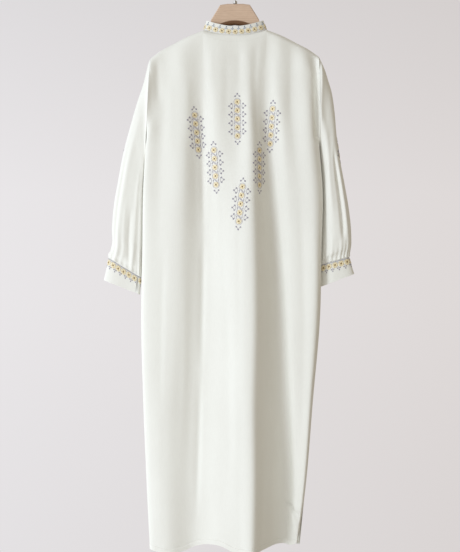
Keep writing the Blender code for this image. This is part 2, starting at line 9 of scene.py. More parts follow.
import bpy
import numpy as np
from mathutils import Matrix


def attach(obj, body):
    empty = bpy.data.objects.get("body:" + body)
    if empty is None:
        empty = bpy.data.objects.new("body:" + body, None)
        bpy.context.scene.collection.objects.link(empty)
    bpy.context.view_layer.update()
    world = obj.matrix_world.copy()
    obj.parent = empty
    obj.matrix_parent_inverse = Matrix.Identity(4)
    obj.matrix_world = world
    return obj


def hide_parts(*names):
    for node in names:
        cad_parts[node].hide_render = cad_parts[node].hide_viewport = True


MM = 0.001

# Camera: its place in metres, the size of one pixel at the garment's middle plane, and
# the picture's height in pixels
CAMERA_PLACE = (-0.01285, -2.55, -0.7736)
PIXEL = 2.57
FRAME_HEIGHT = 552

# Thickness of the cloth and of the collar and cuffs, and the gap at each seam
CLOTH_THICKNESS = 0.8
BAND_THICKNESS = 1.8
SEAM_GAP = 0.3

# Shoulder line over the hanger: place across, drop of the cloth's ridge, and how much
# that rises towards the right for each millimetre across
SHOULDER_ACROSS = (82, 125, 160, 190, 216)
SHOULDER_DROP = (143, 160, 178, 194, 213)
SHOULDER_TILT = 0.006
# How deep the cloth rounds on each side of the ridge, and over what height
RIDGE_DEPTH = 12
RIDGE_HEIGHT = 14
# Extra depth beside the neck, and how far out it fades
NECK_FILLING = 11
NECK_FILLING_REACH = 95

# Neck seam, an oval that dips at the back and further at the front
NECK_HALF_WIDTH = 82
NECK_BACK_DEPTH = 24
NECK_FRONT_DEPTH = 26
NECK_BACK_DIP = 18
NECK_FRONT_DIP = 38
# Collar: its height, how far its top leans in, the share of that which is missing at the
# front and the back, the angle left open on each side of the front's middle, and how many
# points it has round and from top to seam
COLLAR_HEIGHT = 25
COLLAR_LEAN = 9
COLLAR_UPRIGHT = 0.55
COLLAR_OPENING = 0.05
COLLAR_COLUMNS = 145
COLLAR_ROWS = 11
# Neck slit of the front
SLIT_HALF_WIDTH = 1.25
SLIT_END = 440

# Armhole, an oval in a nearly upright plane at each side
TIP_ACROSS = 216
TIP_DROP = 213
UNDERARM_DROP = 440
UNDERARM_ACROSS = {"left": -227, "right": 216}
ARMHOLE_HALF_DEPTH = 34
ARMHOLE_MIDDLE = (TIP_DROP + UNDERARM_DROP) / 2
ARMHOLE_HALF_HEIGHT = (UNDERARM_DROP - TIP_DROP) / 2
# Depth of the armhole at which a panel's section runs freely out of it
ARMHOLE_FREE_DEPTH = 15

# Side vents: drop of their tops, how far each edge has opened at the hem, and a power for
# how it does so
VENT_TOP = 1342
VENT_HALF_OPENING = 12
VENT_CURVE = 1.3
HEM_DROP = 1465
# How much higher than that each panel's hem hangs, at places across
HEM_LIFTS = {
    "back": ((-218, -170, -125, -100, -68, -36, 0, 35, 69, 95, 122, 145, 154, 162),
             (0, -9, -2, 8, 15, 13, 0, -2, 2, 4, 2, 1, 6, 14)),
    "front": ((-218, -120, 0, 70, 120, 165), (0, 3, -2, 0, 4, -1)),
}
# Turned-up hem: its height, its step, and rows of faces round its stitching, as heights
HEM_BAND = 12
HEM_STEP = 0.5
HEM_STEP_HEIGHT = 0.8
HEM_ROWS = (20, 16, 13.6, 12.5, 12, 11.5, 9.5, 5, 0)
# Groove along its stitching, and the puckers beside that: depth or height, and reach
HEM_GROOVE = (0.4, 0.9)
HEM_PUCKER = (0.28, 7)

# Drops at which the fold tables give their numbers
LEVELS = (257, 350, 440, 560, 700, 880, 1092, 1298, HEM_DROP)
YOKE_DROP = LEVELS[0]

# Folds of the back, from its left edge to its right one. Columns: name, columns of faces
# up to the next fold, place at the top seam, place at each level, and how far the fold
# stands out towards the viewer at each level.
BACK_FOLDS = (
    ("left_edge", 2, -216, (-218, -223, -226, -229, -230, -235, -232, -224, -216), None),
    ("left_roll", 2, -205, (-208, -217, -226, -234, -236, -239, -233, -224, -215),
     (25, 31, 28, 25, 24, 24, 26, 28, 34)),
    ("left_dip", 4, -189, (-190, -190, -190, -192, -193, -195, -198, -195, -190),
     (21, 27, 29, 31, 33, 36, 38, 41, 45)),
    ("left_crest", 5, -139, (-132, -130, -129, -132, -138, -150, -168, -176, -174),
     (27, 33, 36, 38, 38, 39, 40, 43, 48)),
    ("left_valley", 6, -82, (-82, -83, -85, -84, -80, -81, -89, -99, -101),
     (20, 21, 20, 20, 21, 24, 28, 33, 37)),
    ("left_rise", 5, -48, (-51, -54, -49, -41, -36, -31, -33, -36, -36),
     (26, 32, 34, 34, 36, 41, 48, 54, 60)),
    ("middle", 3, 6, (8, 8, 5, 3, 5, 10, 8, 8, 8),
     (24, 31, 38, 46, 52, 59, 66, 72, 76)),
    ("main_crest", 3, 32, (38, 39, 44, 46, 48, 49, 44, 46, 42),
     (27, 38, 45, 52, 59, 66, 73, 81, 87)),
    ("main_flank", 5, 56, (56, 56, 62, 67, 73, 76, 74, 74, 71),
     (23, 29, 31, 31, 35, 40, 44, 48, 52)),
    ("main_valley", 3, 82, (76, 78, 83, 90, 103, 118, 131, 141, 134),
     (18, 20, 13, 6, 2, 0, -4, -11, -11)),
    ("right_crest", 2, 116, (116, 118, 126, 134, 141, 146, 152, 155, 144),
     (24, 32, 29, 25, 22, 20, 18, 14, 1)),
    ("right_dip", 2, 144, (144, 144, 152, 163, 170, 174, 170, 163, 151),
     (21, 28, 28, 28, 27, 26, 24, 22, 7)),
    ("outer_crest", 2, 177, (192, 194, 199, 211, 212, 208, 192, 176, 158),
     (25, 34, 33, 31, 31, 31, 30, 28, 10)),
    ("right_roll", 2, 206, (210, 211, 214, 222.6, 219.8, 215.8, 198, 181, 161.5),
     (14, 16, 19, 20, 20, 20, 19, 18, 5)),
    ("right_edge", 0, 216, (216, 216, 216, 224, 221, 217, 199, 182, 162), None),
)

# Folds of the front, from left to right too, standing out away from the viewer. The side
# edges are the back's, but for the right one at the hem. The two middle rows are the neck
# slit's edges.
FRONT_FOLDS = (
    ("left_edge", 2, -216, (-218, -223, -226, -229, -230, -235, -232, -224, -216), None),
    ("left_roll", 3, -205, (-206, -206, -208, -210, -211, -214, -214, -209, -204),
     (25, 34, 26, 21, 20, 20, 20, 22, 28)),
    ("left_outer_crest", 4, -160, (-160, -160, -163, -166, -168, -169, -170, -166, -160),
     (25, 36, 35, 35, 36, 38, 40, 43, 47)),
    ("left_valley", 6, -82, (-92, -100, -105, -108, -109, -108, -106, -104, -102),
     (20, 28, 22, 18, 14, 12, 10, 8, 10)),
    ("left_inner_crest", 4, -48, (-50, -52, -55, -58, -60, -62, -64, -64, -64),
     (27, 33, 32, 34, 36, 39, 42, 45, 49)),
    ("slit_left", 1, -SLIT_HALF_WIDTH, (-1.25, -1.25, -1.25, -4, -9, -13, -15, -17, -17),
     (26, 29, 27, 22, 18, 15, 12, 10, 12)),
    ("slit_right", 4, SLIT_HALF_WIDTH, (1.25, 1.25, 1.25, 0, -5, -9, -11, -13, -13),
     (26, 29, 27, 22, 18, 15, 12, 10, 12)),
    ("right_inner_crest", 6, 48, (50, 52, 53, 52, 50, 46, 40, 35, 30),
     (27, 33, 33, 35, 38, 41, 44, 47, 51)),
    ("right_valley", 4, 82, (92, 100, 104, 104, 101, 96, 89, 82, 76),
     (20, 28, 22, 18, 14, 11, 9, 8, 10)),
    ("right_outer_crest", 3, 160, (160, 162, 165, 166, 164, 157, 146, 134, 122),
     (25, 36, 34, 32, 31, 32, 34, 35, 37)),
    ("right_roll", 2, 203, (198, 198, 206, 211, 211, 208, 193, 177, 160),
     (22, 33, 26, 20, 17, 15, 14, 13, 15)),
    ("right_edge", 0, 216, (216, 216, 216, 224, 221, 217, 199, 182, 167), None),
)

# Fineness of each panel: columns for each column of the tables, and height of a row
BACK_FINENESS = (3, 5.0)
FRONT_FINENESS = (2, 7.0)
# Rows of the yoke, set closer towards the top seam by a power
YOKE_ROWS = 24
YOKE_CROWDING = 1.5
# How fast the yoke's surface leaves the neck seam's depth for that of the folds
YOKE_FILLING = 2.6

# Faces over which creases fade in from a panel's sides and from its top seam, and over
# which the hem does from its sides
CREASE_SIDE_FADE = 6
CREASE_TOP_FADE = 8
HEM_SIDE_FADE = 2
# Share of its length over which a crease rises at its start and sinks at its end
CREASE_ENDS = (0.3, 0.4)
SLEEVE_CREASE_ENDS = (0.35, 0.2)
# Small creases of the back. Columns: start across and drop, end across and drop, bow
# sideways, half width, and height, which is below zero for a trough.
BACK_CREASES = (
    (-84, 300, -80, 700, 0, 7, -3.0),
    (-80, 640, -87, 1060, 0, 7, -3.0),
    (-88, 1000, -99, 1420, 0, 7, -3.0),
    (-200, 205, -193, 360, 0, 9, -3.0),
    (-168, 230, -172, 520, 4, 12, 1.2),
    (-120, 250, -112, 460, -3, 10, 1.0),
    (-62, 190, -66, 330, 0, 12, 1.2),
    (-22, 200, -28, 420, 3, 10, -1.0),
    (12, 190, 10, 300, 0, 9, -0.9),
    (52, 175, 44, 330, 2, 9, -1.2),
    (98, 190, 104, 420, 2, 9, 1.0),
    (142, 175, 138, 400, 2, 8, -1.0),
    (168, 200, 172, 330, 0, 8, 0.9),
    (-178, 640, -190, 1210, -4, 9, -1.3),
    (-128, 700, -140, 1330, 5, 9, 1.1),
    (-20, 760, -16, 1400, 4, 11, -0.9),
    (24, 620, 22, 1180, -3, 9, 0.9),
    (164, 560, 176, 980, 3, 8, -1.0),
    (130, 1352, 166, 1402, 2, 4.5, -8),
    (150, 1356, 160, 1440, -3, 7, 3.5),
    (112, 1360, 126, 1440, 2, 7, 1.3),
)
FRONT_CREASES = (
    (-188, 230, -182, 420, 2, 10, -1.6),
    (-136, 220, -128, 480, -3, 11, 1.1),
    (-58, 210, -66, 400, 2, 9, -1.0),
    (30, 240, 24, 460, 2, 9, 1.0),
    (78, 205, 84, 400, 2, 10, -1.4),
    (140, 215, 148, 470, -3, 10, 1.1),
    (-152, 620, -160, 1240, 4, 10, -1.2),
    (-84, 700, -92, 1330, -4, 10, 1.0),
    (-30, 640, -40, 1180, 3, 9, -1.0),
    (58, 700, 44, 1360, 4, 10, 1.0),
    (126, 620, 112, 1260, -3, 9, -1.2),
    (178, 560, 168, 1020, 2, 9, 1.0),
    (150, 1340, 118, 1395, -2, 6, -2.4),
)

# Rings of each sleeve from the armhole to the cuff. Columns: across and drop of the
# outer line, across and drop of the inner line, depth on the near side and on the far
# side, and how far the inner line is turned back.
SLEEVE_RINGS = {
    "left": (
        (-222, 227, -228.1, 452, 27, 40, 0),
        (-227, 247, -229.2, 470, 23, 46, 0),
        (-236, 283, -231.2, 490, 21, 54, 0),
        (-249, 321, -233.2, 512, 21, 62, 0),
        (-268, 386, -235.2, 542, 20, 72, 0),
        (-285, 450, -236.2, 572, 20, 78, 0),
        (-300, 527, -236.8, 608, 20, 80, 0),
        (-311, 591, -237.3, 648, 20, 78, 0),
        (-316, 655, -238.3, 694, 20, 70, 0),
        (-315, 690, -239.5, 726, 20, 56, 0),
        (-319, 710, -240.3, 750, 19, 38, 0),
    ),
    "right": (
        (222, 227, 217.3, 452, 34, 40, 0),
        (230, 245, 219.2, 470, 31, 46, 0),
        (238, 270, 221.2, 492, 29, 54, 1),
        (247, 300, 223.0, 516, 28, 60, 2),
        (255, 352, 224.5, 544, 27, 66, 3),
        (260, 410, 225.0, 574, 27, 72, 3),
        (269, 474, 224.8, 606, 27, 74, 3),
        (281, 538, 223.8, 642, 27, 72, 3),
        (292, 602, 222.6, 680, 27, 66, 3),
        (298, 660, 221.8, 706, 26, 54, 3),
        (297, 694, 221.4, 726, 23, 38, 3),
    ),
}
# Form of a sleeve's near side, of its outer and its inner half: two powers, a and b, in
# depth * (1 - across ** a) ** b
SLEEVE_FORMS = {"left": ((2.6, 0.42), (7, 0.15)), "right": ((3, 0.33), (2.5, 1.2))}
# Top and bottom edge of each cuff, in the same columns
CUFF_EDGES = {
    "left": ((-324, 727, -241, 777, 15, 15, 0), (-337, 784, -244, 821, 17, 17, 0)),
    "right": ((293, 725, 221.2, 744, 15, 15, 3), (306, 768, 220.4, 801, 17, 17, 3)),
}
# Which way round each sleeve's points run, for normals that point out of it
SLEEVE_OUTWARD = {"left": -1, "right": 1}
# How far above the cuff a sleeve has taken the cuff's form
SLEEVE_LAST_STEP = 8
# Points round a sleeve and their angles from its outer line over the near side, rows from
# each ring to the next, and rows above the cuff over which the creases fade
SLEEVE_POINTS = 144
SLEEVE_TURNS = 2 * math.pi * np.arange(SLEEVE_POINTS) / SLEEVE_POINTS
SLEEVE_RING_STEPS = 8
SLEEVE_END_FADE = 2
CUFF_ROWS = 13
# Start and end of each cuff's slit, as shares of the way round, and the part of its width
# that is closed at the seam on each side
CUFF_SLIT = {"left": (0.385, 0.425), "right": (0.49, 0.525)}
CUFF_SLIT_NARROWING = 0.4

# Long creases of the sleeves. Columns: place round the sleeve in degrees, as for the
# gathers, and drop, at the start and at the end, half width in degrees, and height,
# which is below zero for a trough.
SLEEVE_CREASES = {
    "left": (
        (101, 590, 98, 752, 7, -2.4), (122, 470, 120, 748, 8, 1.2),
        (138, 570, 137, 745, 8, -0.9), (64, 330, 62, 720, 12, 1.4),
        (46, 420, 44, 735, 8, -1.6), (80, 560, 80, 745, 7, 1.2),
        (205, 420, 208, 740, 12, -4.0), (232, 360, 228, 700, 12, 3.0),
        (258, 400, 262, 740, 10, -3.5), (290, 330, 286, 720, 12, 2.5),
        (318, 420, 316, 730, 10, -3.0),
    ),
    "right": (
        (58, 440, 64, 690, 8, -8.0), (40, 430, 46, 700, 7, 2.0), (96, 330, 100, 640, 14, 2.0),
        (205, 420, 208, 720, 12, -4.0), (232, 360, 228, 690, 12, 3.0),
        (258, 400, 262, 720, 10, -3.5), (290, 330, 286, 700, 12, 2.5),
        (318, 420, 316, 710, 10, -3.0),
    ),
}

# Gathers above the cuffs. Columns: place round the sleeve in degrees from the outer line
# over the near side, half width in degrees, height, and how far up it runs.
GATHERS = {
    "left": (
        (12, 7, 2.4, 60), (32, 7, 2.0, 40), (54, 9, 4.0, 130), (76, 6, 1.6, 45),
        (96, 7, 2.0, 70), (116, 9, 4.2, 110), (134, 6, 1.6, 40), (152, 7, 2.6, 80),
        (172, 6, 2.2, 50), (193, 7, 2.6, 85), (212, 6, 2.0, 50), (230, 8, 3.4, 100),
        (250, 6, 1.8, 45), (268, 7, 2.6, 75), (286, 7, 3.2, 105), (305, 6, 1.8, 50),
        (323, 7, 2.6, 80), (343, 6, 1.8, 40),
    ),
    "right": (
        (8, 6, 2.6, 70), (24, 5, 2.2, 55), (40, 6, 3.0, 85), (56, 5, 2.4, 60),
        (72, 6, 2.8, 75), (90, 6, 2.2, 50), (108, 7, 2.6, 80), (128, 7, 2.4, 60),
        (148, 7, 2.6, 90), (168, 6, 2.0, 45), (190, 7, 2.6, 75), (208, 6, 2.0, 50),
        (226, 7, 3.0, 95), (246, 6, 2.0, 55), (266, 7, 2.8, 80), (284, 6, 2.0, 45),
        (302, 7, 3.0, 90), (322, 6, 2.2, 60), (342, 6, 2.4, 75),
    ),
}

# Back motifs: middle across and drop, and lean to the left at the top in degrees
BACK_MOTIFS = (
    (-98, 408, 6.5), (6, 375, 0.5), (93, 392, -4), (-51, 498, 4), (62, 499, 0),
    (14, 592, -6),
)
# How many rosettes each has, and on the sleeves the drop of its middle and its turn from
# the outer line towards the front in degrees
BACK_ROSETTES = 5
SLEEVE_ROSETTES = 2
SLEEVE_MOTIF_DROP = 452
SLEEVE_MOTIF_TURN = {"left": 14, "right": -6}
ROSETTE_PITCH = 22.0
ROSETTE_RADIUS = 7.2
ROSETTE_STITCHES = 30
# Padding under a rosette's stitches: share of its radius, and height
ROSETTE_PADDING = (0.93, 0.45)
# One stitch from the spot outwards: shares of the radius and heights, and its width there
# as shares of the space it has at the rim
ROSETTE_STITCH = ((0.34, 0.45), (0.66, 0.95), (1.0, 0.2))
ROSETTE_STITCH_WIDTHS = (0.5, 0.85, 1.0)
# Every other stitch is a little shorter, and one in seven is of the darker thread
SHORT_STITCH = 0.95
DARK_STITCH_PITCH = 7
DARK_STITCH = 3
# Half sizes of the dark spot in a rosette, as shares of its radius, and its slant
SPOT_SHARE = (0.22, 0.38)
SPOT_LEAN = math.radians(28)
DOT_SIZE = 4.4
DOT_HEIGHT = 0.9
# Line round a motif: its least distance from the middle line, half the height of its
# bulges, how far it reaches past the last rosette's middle, its thread's width and
# height, how many points it has for each millimetre, and how many round each end
EDGE_NARROW = 6.5
EDGE_BULGE = 1.15
EDGE_END = 9.2
EDGE_THREAD = 1.0
EDGE_HEIGHT = 0.3
EDGE_FINENESS = 1.4
EDGE_END_POINTS = 15
# Groups of dots and threads. Columns: colour, size of the dot or width of the thread, and
# its points across and up, with a height on threads. One point is a dot, more a thread.
# The first is beside the gap between two rosettes, the second across it, and the third
# above a motif's last rosette.
SIDE_GROUP = (
    ("slate", 2.8, (7.1, 0)), ("slate", DOT_SIZE, (21.3, 0)),
    ("slate", DOT_SIZE, (15.2, -6)), ("lilac", 1.0, (20, -1.2, 0.3), (15.5, -4.5, 0.4)),
    ("slate", DOT_SIZE, (15.2, 6)), ("lilac", 1.0, (20, 1.2, 0.3), (15.5, 4.5, 0.4)),
    ("lilac", 1.0, (12.6, -6, 0.25), (11.8, 0, 0.4), (12.6, 6, 0.25)),
)
TIES = (
    ("lilac", 1.2, (-5.4, 3.1, 0.3), (0, -1.3, 0.6), (5.4, -5.7, 0.3)),
    ("lilac", 1.2, (-5.4, 5.7, 0.3), (0, 1.3, 0.6), (5.4, -3.1, 0.3)),
)
END_GROUP = (
    ("slate", DOT_SIZE, (0, 21)),
    ("slate", DOT_SIZE, (-5.6, 14.5)), ("lilac", 1.0, (-0.56, 19.5, 0.3), (-4.48, 15, 0.4)),
    ("slate", DOT_SIZE, (5.6, 14.5)), ("lilac", 1.0, (0.56, 19.5, 0.3), (4.48, 15, 0.4)),
)
# How far the last repeat of a border may pass the band's end
REPEAT_OVERLAP = 0.8
# Borders of the collar and the cuffs: pitch, radius of the rosettes and their place up,
# and the group between two of them
COLLAR_PITCH = 17.5
COLLAR_ROSETTE = 6.8
COLLAR_ROSETTE_UP = 9.8
COLLAR_GROUP = (
    ("blue", 2.8, (0, 22.6)), ("blue", 1.5, (0, 15, 0.3), (0, 18.5, 0.5), (0, 22, 0.3)),
    ("blue", 2.2, (-2.9, 17.6)), ("lilac", 2.0, (-1.595, 6.6)),
    ("blue", 2.2, (2.9, 17.6)), ("lilac", 2.0, (1.595, 6.6)),
)
COLLAR_FOOT_STITCH = ("lilac", 0.8, (0, 0.9, 0.2), (0, 3.6, 0.2))
COLLAR_FOOT_STITCHES = 5
CUFF_PITCH = 16.0
CUFF_ROSETTE = 7.5
CUFF_ROSETTE_UP = -10.6
CUFF_GROUP = (
    ("lilac", 2.2, (0, -6.2)), ("slate", 3.4, (0, -24.0)),
    ("slate", 3.4, (-3.2, -19.4)), ("slate", 3.4, (3.2, -19.4)),
    ("lilac", 1.0, (0, -15.2, 0.3), (0, -20, 0.5), (0, -23, 0.3)),
)
# Lines along a cuff's seam: place up and width
CUFF_LINES = ((-1.6, 1.3), (-3.1, 0.8))
# Running stitches: pitch, share of it that a stitch covers, width, and rise of its middle
STITCH_PITCH = 3.4
STITCH_SHARE = 0.68
STITCH_WIDTH = 0.55
STITCH_RISE = 0.4
# Rows and columns of faces that they follow, counted from the panel's edges, and the
# shares of those at which they start and end
HEM_ROWS_BELOW = 4
NECK_STITCH_ROW = 7
NECK_STITCH_REACH = 74
VENT_STITCH_COLUMN = 3
SLIT_STITCH_COLUMN = 3
HEM_STITCH_ENDS = (0.012, 0.988)
VENT_STITCH_END = 0.99
SLIT_STITCH_START = 0.01
# Height of a thread as a share of its width
THREAD_FLATNESS = 0.7
# Rows searched round an embroidery: a factor on its size, and rows more
LAID_MARGIN = 1.3
LAID_ROWS = 12
# Knots and stitches start a little below the cloth's surface. Rings of a knot: share of
# its half size, and height for a knot 1 mm high.
KNOT_FOOT = -0.15
KNOT_RINGS = ((0.85, KNOT_FOOT), (1.0, 0.35), (0.62, 0.85))

# Colours of the threads, and of their shaded parts
THREAD_COLOURS = {
    "gold": ((0.90, 0.82, 0.60), (0.82, 0.70, 0.44)),
    "gold_shade": ((0.70, 0.50, 0.22), (0.60, 0.41, 0.16)),
    "brown": ((0.26, 0.17, 0.06), (0.18, 0.11, 0.04)),
    "slate": ((0.34, 0.32, 0.37), (0.26, 0.24, 0.29)),
    "lilac": ((0.44, 0.40, 0.46), (0.36, 0.33, 0.39)),
    "blue": ((0.24, 0.29, 0.38), (0.18, 0.22, 0.30)),
    "ivory": ((0.80, 0.79, 0.74), (0.74, 0.73, 0.68)),
}
# Tones of the cloth, and the fineness of its weave
IVORY_LIGHT = (0.85, 0.845, 0.79)
IVORY_DARK = (0.81, 0.80, 0.745)
WEAVE_SCALE = 260
CLOTH_SHEEN = {"Roughness": 0.8, "Sheen Weight": 0.12, "Sheen Roughness": 0.5,
               "Specular IOR Level": 0.25}
# Painted shade in an arch under the hanger's middle, for its shaded underside: how it bows,
# drops where the painted shade starts and is full, and its colour
ARCH_BOW = 6.0
ARCH_SHADE = (117, 119.5)
ARCH_SHADE_COLOUR = (0.15, 0.065, 0.02)

# Window light from the left: place, the point it is aimed at and size in metres, power in
# watts, and colour
KEY_PLACE = (-2.0, -1.85, -0.85)
KEY_TARGET = (0, 0, -0.75)
KEY_SIZE = (0.8, 2.2)
KEY_POWER = 37
KEY_COLOUR = (0.87, 0.95, 1.04)
# Soft light from all round: its colour from the left and from the right
FILL_LEFT = (0.95, 0.98, 1.02)
FILL_RIGHT = (0.31, 0.25, 0.155)
# Wall behind the garment, with painted light: a lit colour at its left and a colour in painted
# shade at its right, how far out they are reached, half its height in the picture, and a
# painted pool of light on it, dimmer towards the bottom and the top
WALL_LEFT = (0.82, 0.80, 0.815)
WALL_RIGHT = (0.73, 0.69, 0.68)
WALL_REACH = 0.25
WALL_HALF_HEIGHT = 0.27
WALL_PAINTED_POOL = ((0, (0.95, 0.95, 0.95)), (0.45, (1, 1, 1)), (0.65, (1, 1, 1)),
                (1, (0.90, 0.90, 0.90)))
# Studio floor
FLOOR_DROP = 2000
FLOOR_HALF = 1500


def smooth_value(places, values, place):
    """Value at a place on a smooth curve through values at rising places."""
    places = np.asarray(places, dtype=float)
    values = np.asarray(values, dtype=float)
    if place <= places[0]:
        return values[0]
    if place >= places[-1]:
        return values[-1]
    slopes = np.gradient(values, places)
    at = int(np.searchsorted(places, place)) - 1
    step = places[at + 1] - places[at]
    t = (place - places[at]) / step
    return hermite(values[at], values[at + 1], slopes[at] * step, slopes[at + 1] * step, t)


def hermite(start, end, start_slope, end_slope, t):
    """Point at t on a cubic with the given ends and end slopes."""
    return ((2 * t ** 3 - 3 * t ** 2 + 1) * start + (t ** 3 - 2 * t ** 2 + t) * start_slope
            + (3 * t ** 2 - 2 * t ** 3) * end + (t ** 3 - t ** 2) * end_slope)


def smooth_line(points, before, after, counts):
    """Points along a smooth curve, counts[i] of them from points[i] to the next."""
    chain = [np.asarray(p, dtype=float) for p in (before, *points, after)]
    steps = [max(np.linalg.norm(b - a), 1e-6) for a, b in zip(chain, chain[1:])]
    slopes = []
    for i in range(1, len(chain) - 1):
        back = (chain[i] - chain[i - 1]) / steps[i - 1]
        ahead = (chain[i + 1] - chain[i]) / steps[i]
        slopes.append((back * steps[i] + ahead * steps[i - 1]) / (steps[i] + steps[i - 1]))
    line = []
    for i in range(len(points) - 1):
        step = steps[i + 1]
        for k in range(counts[i]):
            line.append(hermite(chain[i + 1], chain[i + 2], slopes[i] * step,
                                slopes[i + 1] * step, k / counts[i]))
    line.append(chain[-2])
    return line


def ease(t):
    """Zero to one with level ends, for numbers and arrays."""
    t = np.clip(t, 0, 1)
    return t * t * (3 - 2 * t)


def ridge_drop(across):
    """Drop of the shoulder's ridge at a place across."""
    drop = smooth_value(SHOULDER_ACROSS, SHOULDER_DROP, abs(across))
    return drop - SHOULDER_TILT * across


def neck_point(angle):
    """Point of the neck seam. Angle 0 is the middle of the back."""
    back = math.cos(angle)
    depth = NECK_BACK_DEPTH if back > 0 else NECK_FRONT_DEPTH
    dip = NECK_BACK_DIP if back > 0 else NECK_FRONT_DIP
    across = NECK_HALF_WIDTH * math.sin(angle)
    drop = SHOULDER_DROP[0] + dip * back ** 2 - SHOULDER_TILT * across
    return np.array((across, -depth * back, -drop))


def armhole_across(side, drop):
    """Place across of the armhole's plane at a drop."""
    tip = -TIP_ACROSS if side == "left" else TIP_ACROSS
    part = (drop - TIP_DROP) / (UNDERARM_DROP - TIP_DROP)
    return tip + (UNDERARM_ACROSS[side] - tip) * part


def armhole_depth(drop):
    """Half the armhole's width from front to back at a drop."""
    part = (drop - ARMHOLE_MIDDLE) / ARMHOLE_HALF_HEIGHT
    return ARMHOLE_HALF_DEPTH * math.sqrt(max(0, 1 - part * part))


def edge_depth(drop):
    """How far a panel's side edge stands off the side seam's plane."""
    if drop < UNDERARM_DROP:
        return max(armhole_depth(drop), SEAM_GAP / 2)
    vent = max(0, drop - VENT_TOP) / (HEM_DROP - VENT_TOP)
    return SEAM_GAP / 2 + VENT_HALF_OPENING * vent ** VENT_CURVE


def fold_places(folds, drop):
    """Places across and out of all folds of a panel at a drop."""
    places = []
    for name, _, _, across, out in folds:
        x = smooth_value(LEVELS, across, drop)
        if out is None:
            if drop < UNDERARM_DROP:
                x = armhole_across(name.split("_")[0], drop)
            places.append((x, edge_depth(drop)))
        else:
            places.append((x, smooth_value(LEVELS, out, drop)))
    return places


def end_guide(edge, roll, drop):
    """Point past a panel's edge: a mirrored one at a seam, one straight on at an armhole."""
    mirrored = np.array((roll[0], -roll[1]))
    straight = 2 * np.array(edge) - np.array(roll)
    free = ease(armhole_depth(drop) / ARMHOLE_FREE_DEPTH) if drop < UNDERARM_DROP else 0
    return mirrored * (1 - free) + straight * free


def panel_section(folds, drop):
    """Points (across, out) of a panel's section at a drop."""
    places = fold_places(folds, drop)
    before = end_guide(places[0], places[1], drop)
    after = end_guide(places[-1], places[-2], drop)
    return smooth_line(places, before, after, [fold[1] for fold in folds])


def neck_angle(across, facing):
    """Angle on the neck seam at a place across, on the back (-1) or the front (1)."""
    angle = math.asin(max(-1, min(1, across / NECK_HALF_WIDTH)))
    if facing < 0:
        return angle
    return math.copysign(math.pi, angle) - angle


def top_seam(folds, facing):
    """Top edge of a panel: one (point, neck share) for each column of points."""
    seam = []
    for fold, following in zip(folds, folds[1:]):
        for k in range(fold[1]):
            seam.append(seam_point(fold[2], following[2], k / fold[1], facing))
    seam.append(seam_point(folds[-1][2], folds[-1][2], 0, facing))
    return seam


def seam_point(start, end, part, facing):
    """Point between two folds' places at the top seam, and its share of the neck."""
    if max(abs(start), abs(end)) <= NECK_HALF_WIDTH:
        first = neck_angle(start, facing)
        angle = first + (neck_angle(end, facing) - first) * part
        point = neck_point(angle) - np.array((0, 0, SEAM_GAP))
        point[1] = facing * max(abs(point[1]), SEAM_GAP / 2)
        return point, abs(math.cos(angle))
    across = start + (end - start) * part
    drop = ridge_drop(across)
    if abs(across) <= NECK_HALF_WIDTH:
        drop = drop + SEAM_GAP
    return np.array((across, facing * SEAM_GAP / 2, -drop)), 0


def yoke_point(start, neck_share, section_point, facing, part):
    """Point of a column between the top seam and the yoke level."""
    across = start[0] + (section_point[0] - start[0]) * part
    z = start[2] + (-YOKE_DROP - start[2]) * part
    rounding = min(1, (start[2] - z) / RIDGE_HEIGHT)
    depth = ridge_depth(start[0]) * (1 - neck_share)
    bulge = depth * math.sqrt(1 - (1 - rounding) ** 2)
    rest = section_point[1] - abs(start[1]) - depth
    filled = 1 - (1 - part) ** YOKE_FILLING
    return np.array((across, facing * (abs(start[1]) + bulge + rest * filled), z))


def ridge_depth(across):
    """Depth that the shoulder rounds to at a place across."""
    beyond = (abs(across) - NECK_HALF_WIDTH) / NECK_FILLING_REACH
    return RIDGE_DEPTH + NECK_FILLING * (1 - ease(beyond))


def edge_column_point(side, start, part, facing):
    """Point of a panel's edge along the armhole, above the yoke level."""
    z = start[2] + (-YOKE_DROP - start[2]) * part
    out = edge_depth(-z)
    return np.array((armhole_across(side, -z), facing * out, z))


def panel_grid(folds, drops, facing):
    """Outer points of a panel, a row of points for each height."""
    seam = top_seam(folds, facing)
    yoke = panel_section(folds, YOKE_DROP)
    last = len(seam) - 1
    grid = []
    for part in (np.arange(YOKE_ROWS) / YOKE_ROWS) ** YOKE_CROWDING:
        row = []
        for i, (start, neck_share) in enumerate(seam):
            if i in (0, last):
                side = "left" if i == 0 else "right"
                row.append(edge_column_point(side, start, part, facing))
            else:
                row.append(yoke_point(start, neck_share, yoke[i], facing, part))
        grid.append(row)
    for drop in drops:
        section = panel_section(folds, drop)
        grid.append([np.array((x, facing * out, -drop)) for x, out in section])
    grid = np.array(grid)
    lifts = HEM_LIFTS["back" if facing < 0 else "front"]
    rise = np.array([smooth_value(*lifts, x) for x in grid[-1, :, 0]])
    near_hem = ease((-grid[:, :, 2] - VENT_TOP) / (HEM_DROP - VENT_TOP))
    grid[:, :, 2] += near_hem * rise
    return grid


def grid_normals(grid, outward, closed=False):
    """Unit normals of a grid of points. Outward turns them the right way."""
    down = np.gradient(grid, axis=0)
    if closed:
        along = np.roll(grid, -1, axis=1) - np.roll(grid, 1, axis=1)
    else:
        along = np.gradient(grid, axis=1)
    normals = np.cross(along, down) * outward
    return normals / np.linalg.norm(normals, axis=2, keepdims=True)


def into_plane(normal, plane_normal):
    """Normal turned to lie in a seam's plane."""
    flat = normal - np.dot(normal, plane_normal) * plane_normal
    return flat / np.linalg.norm(flat)


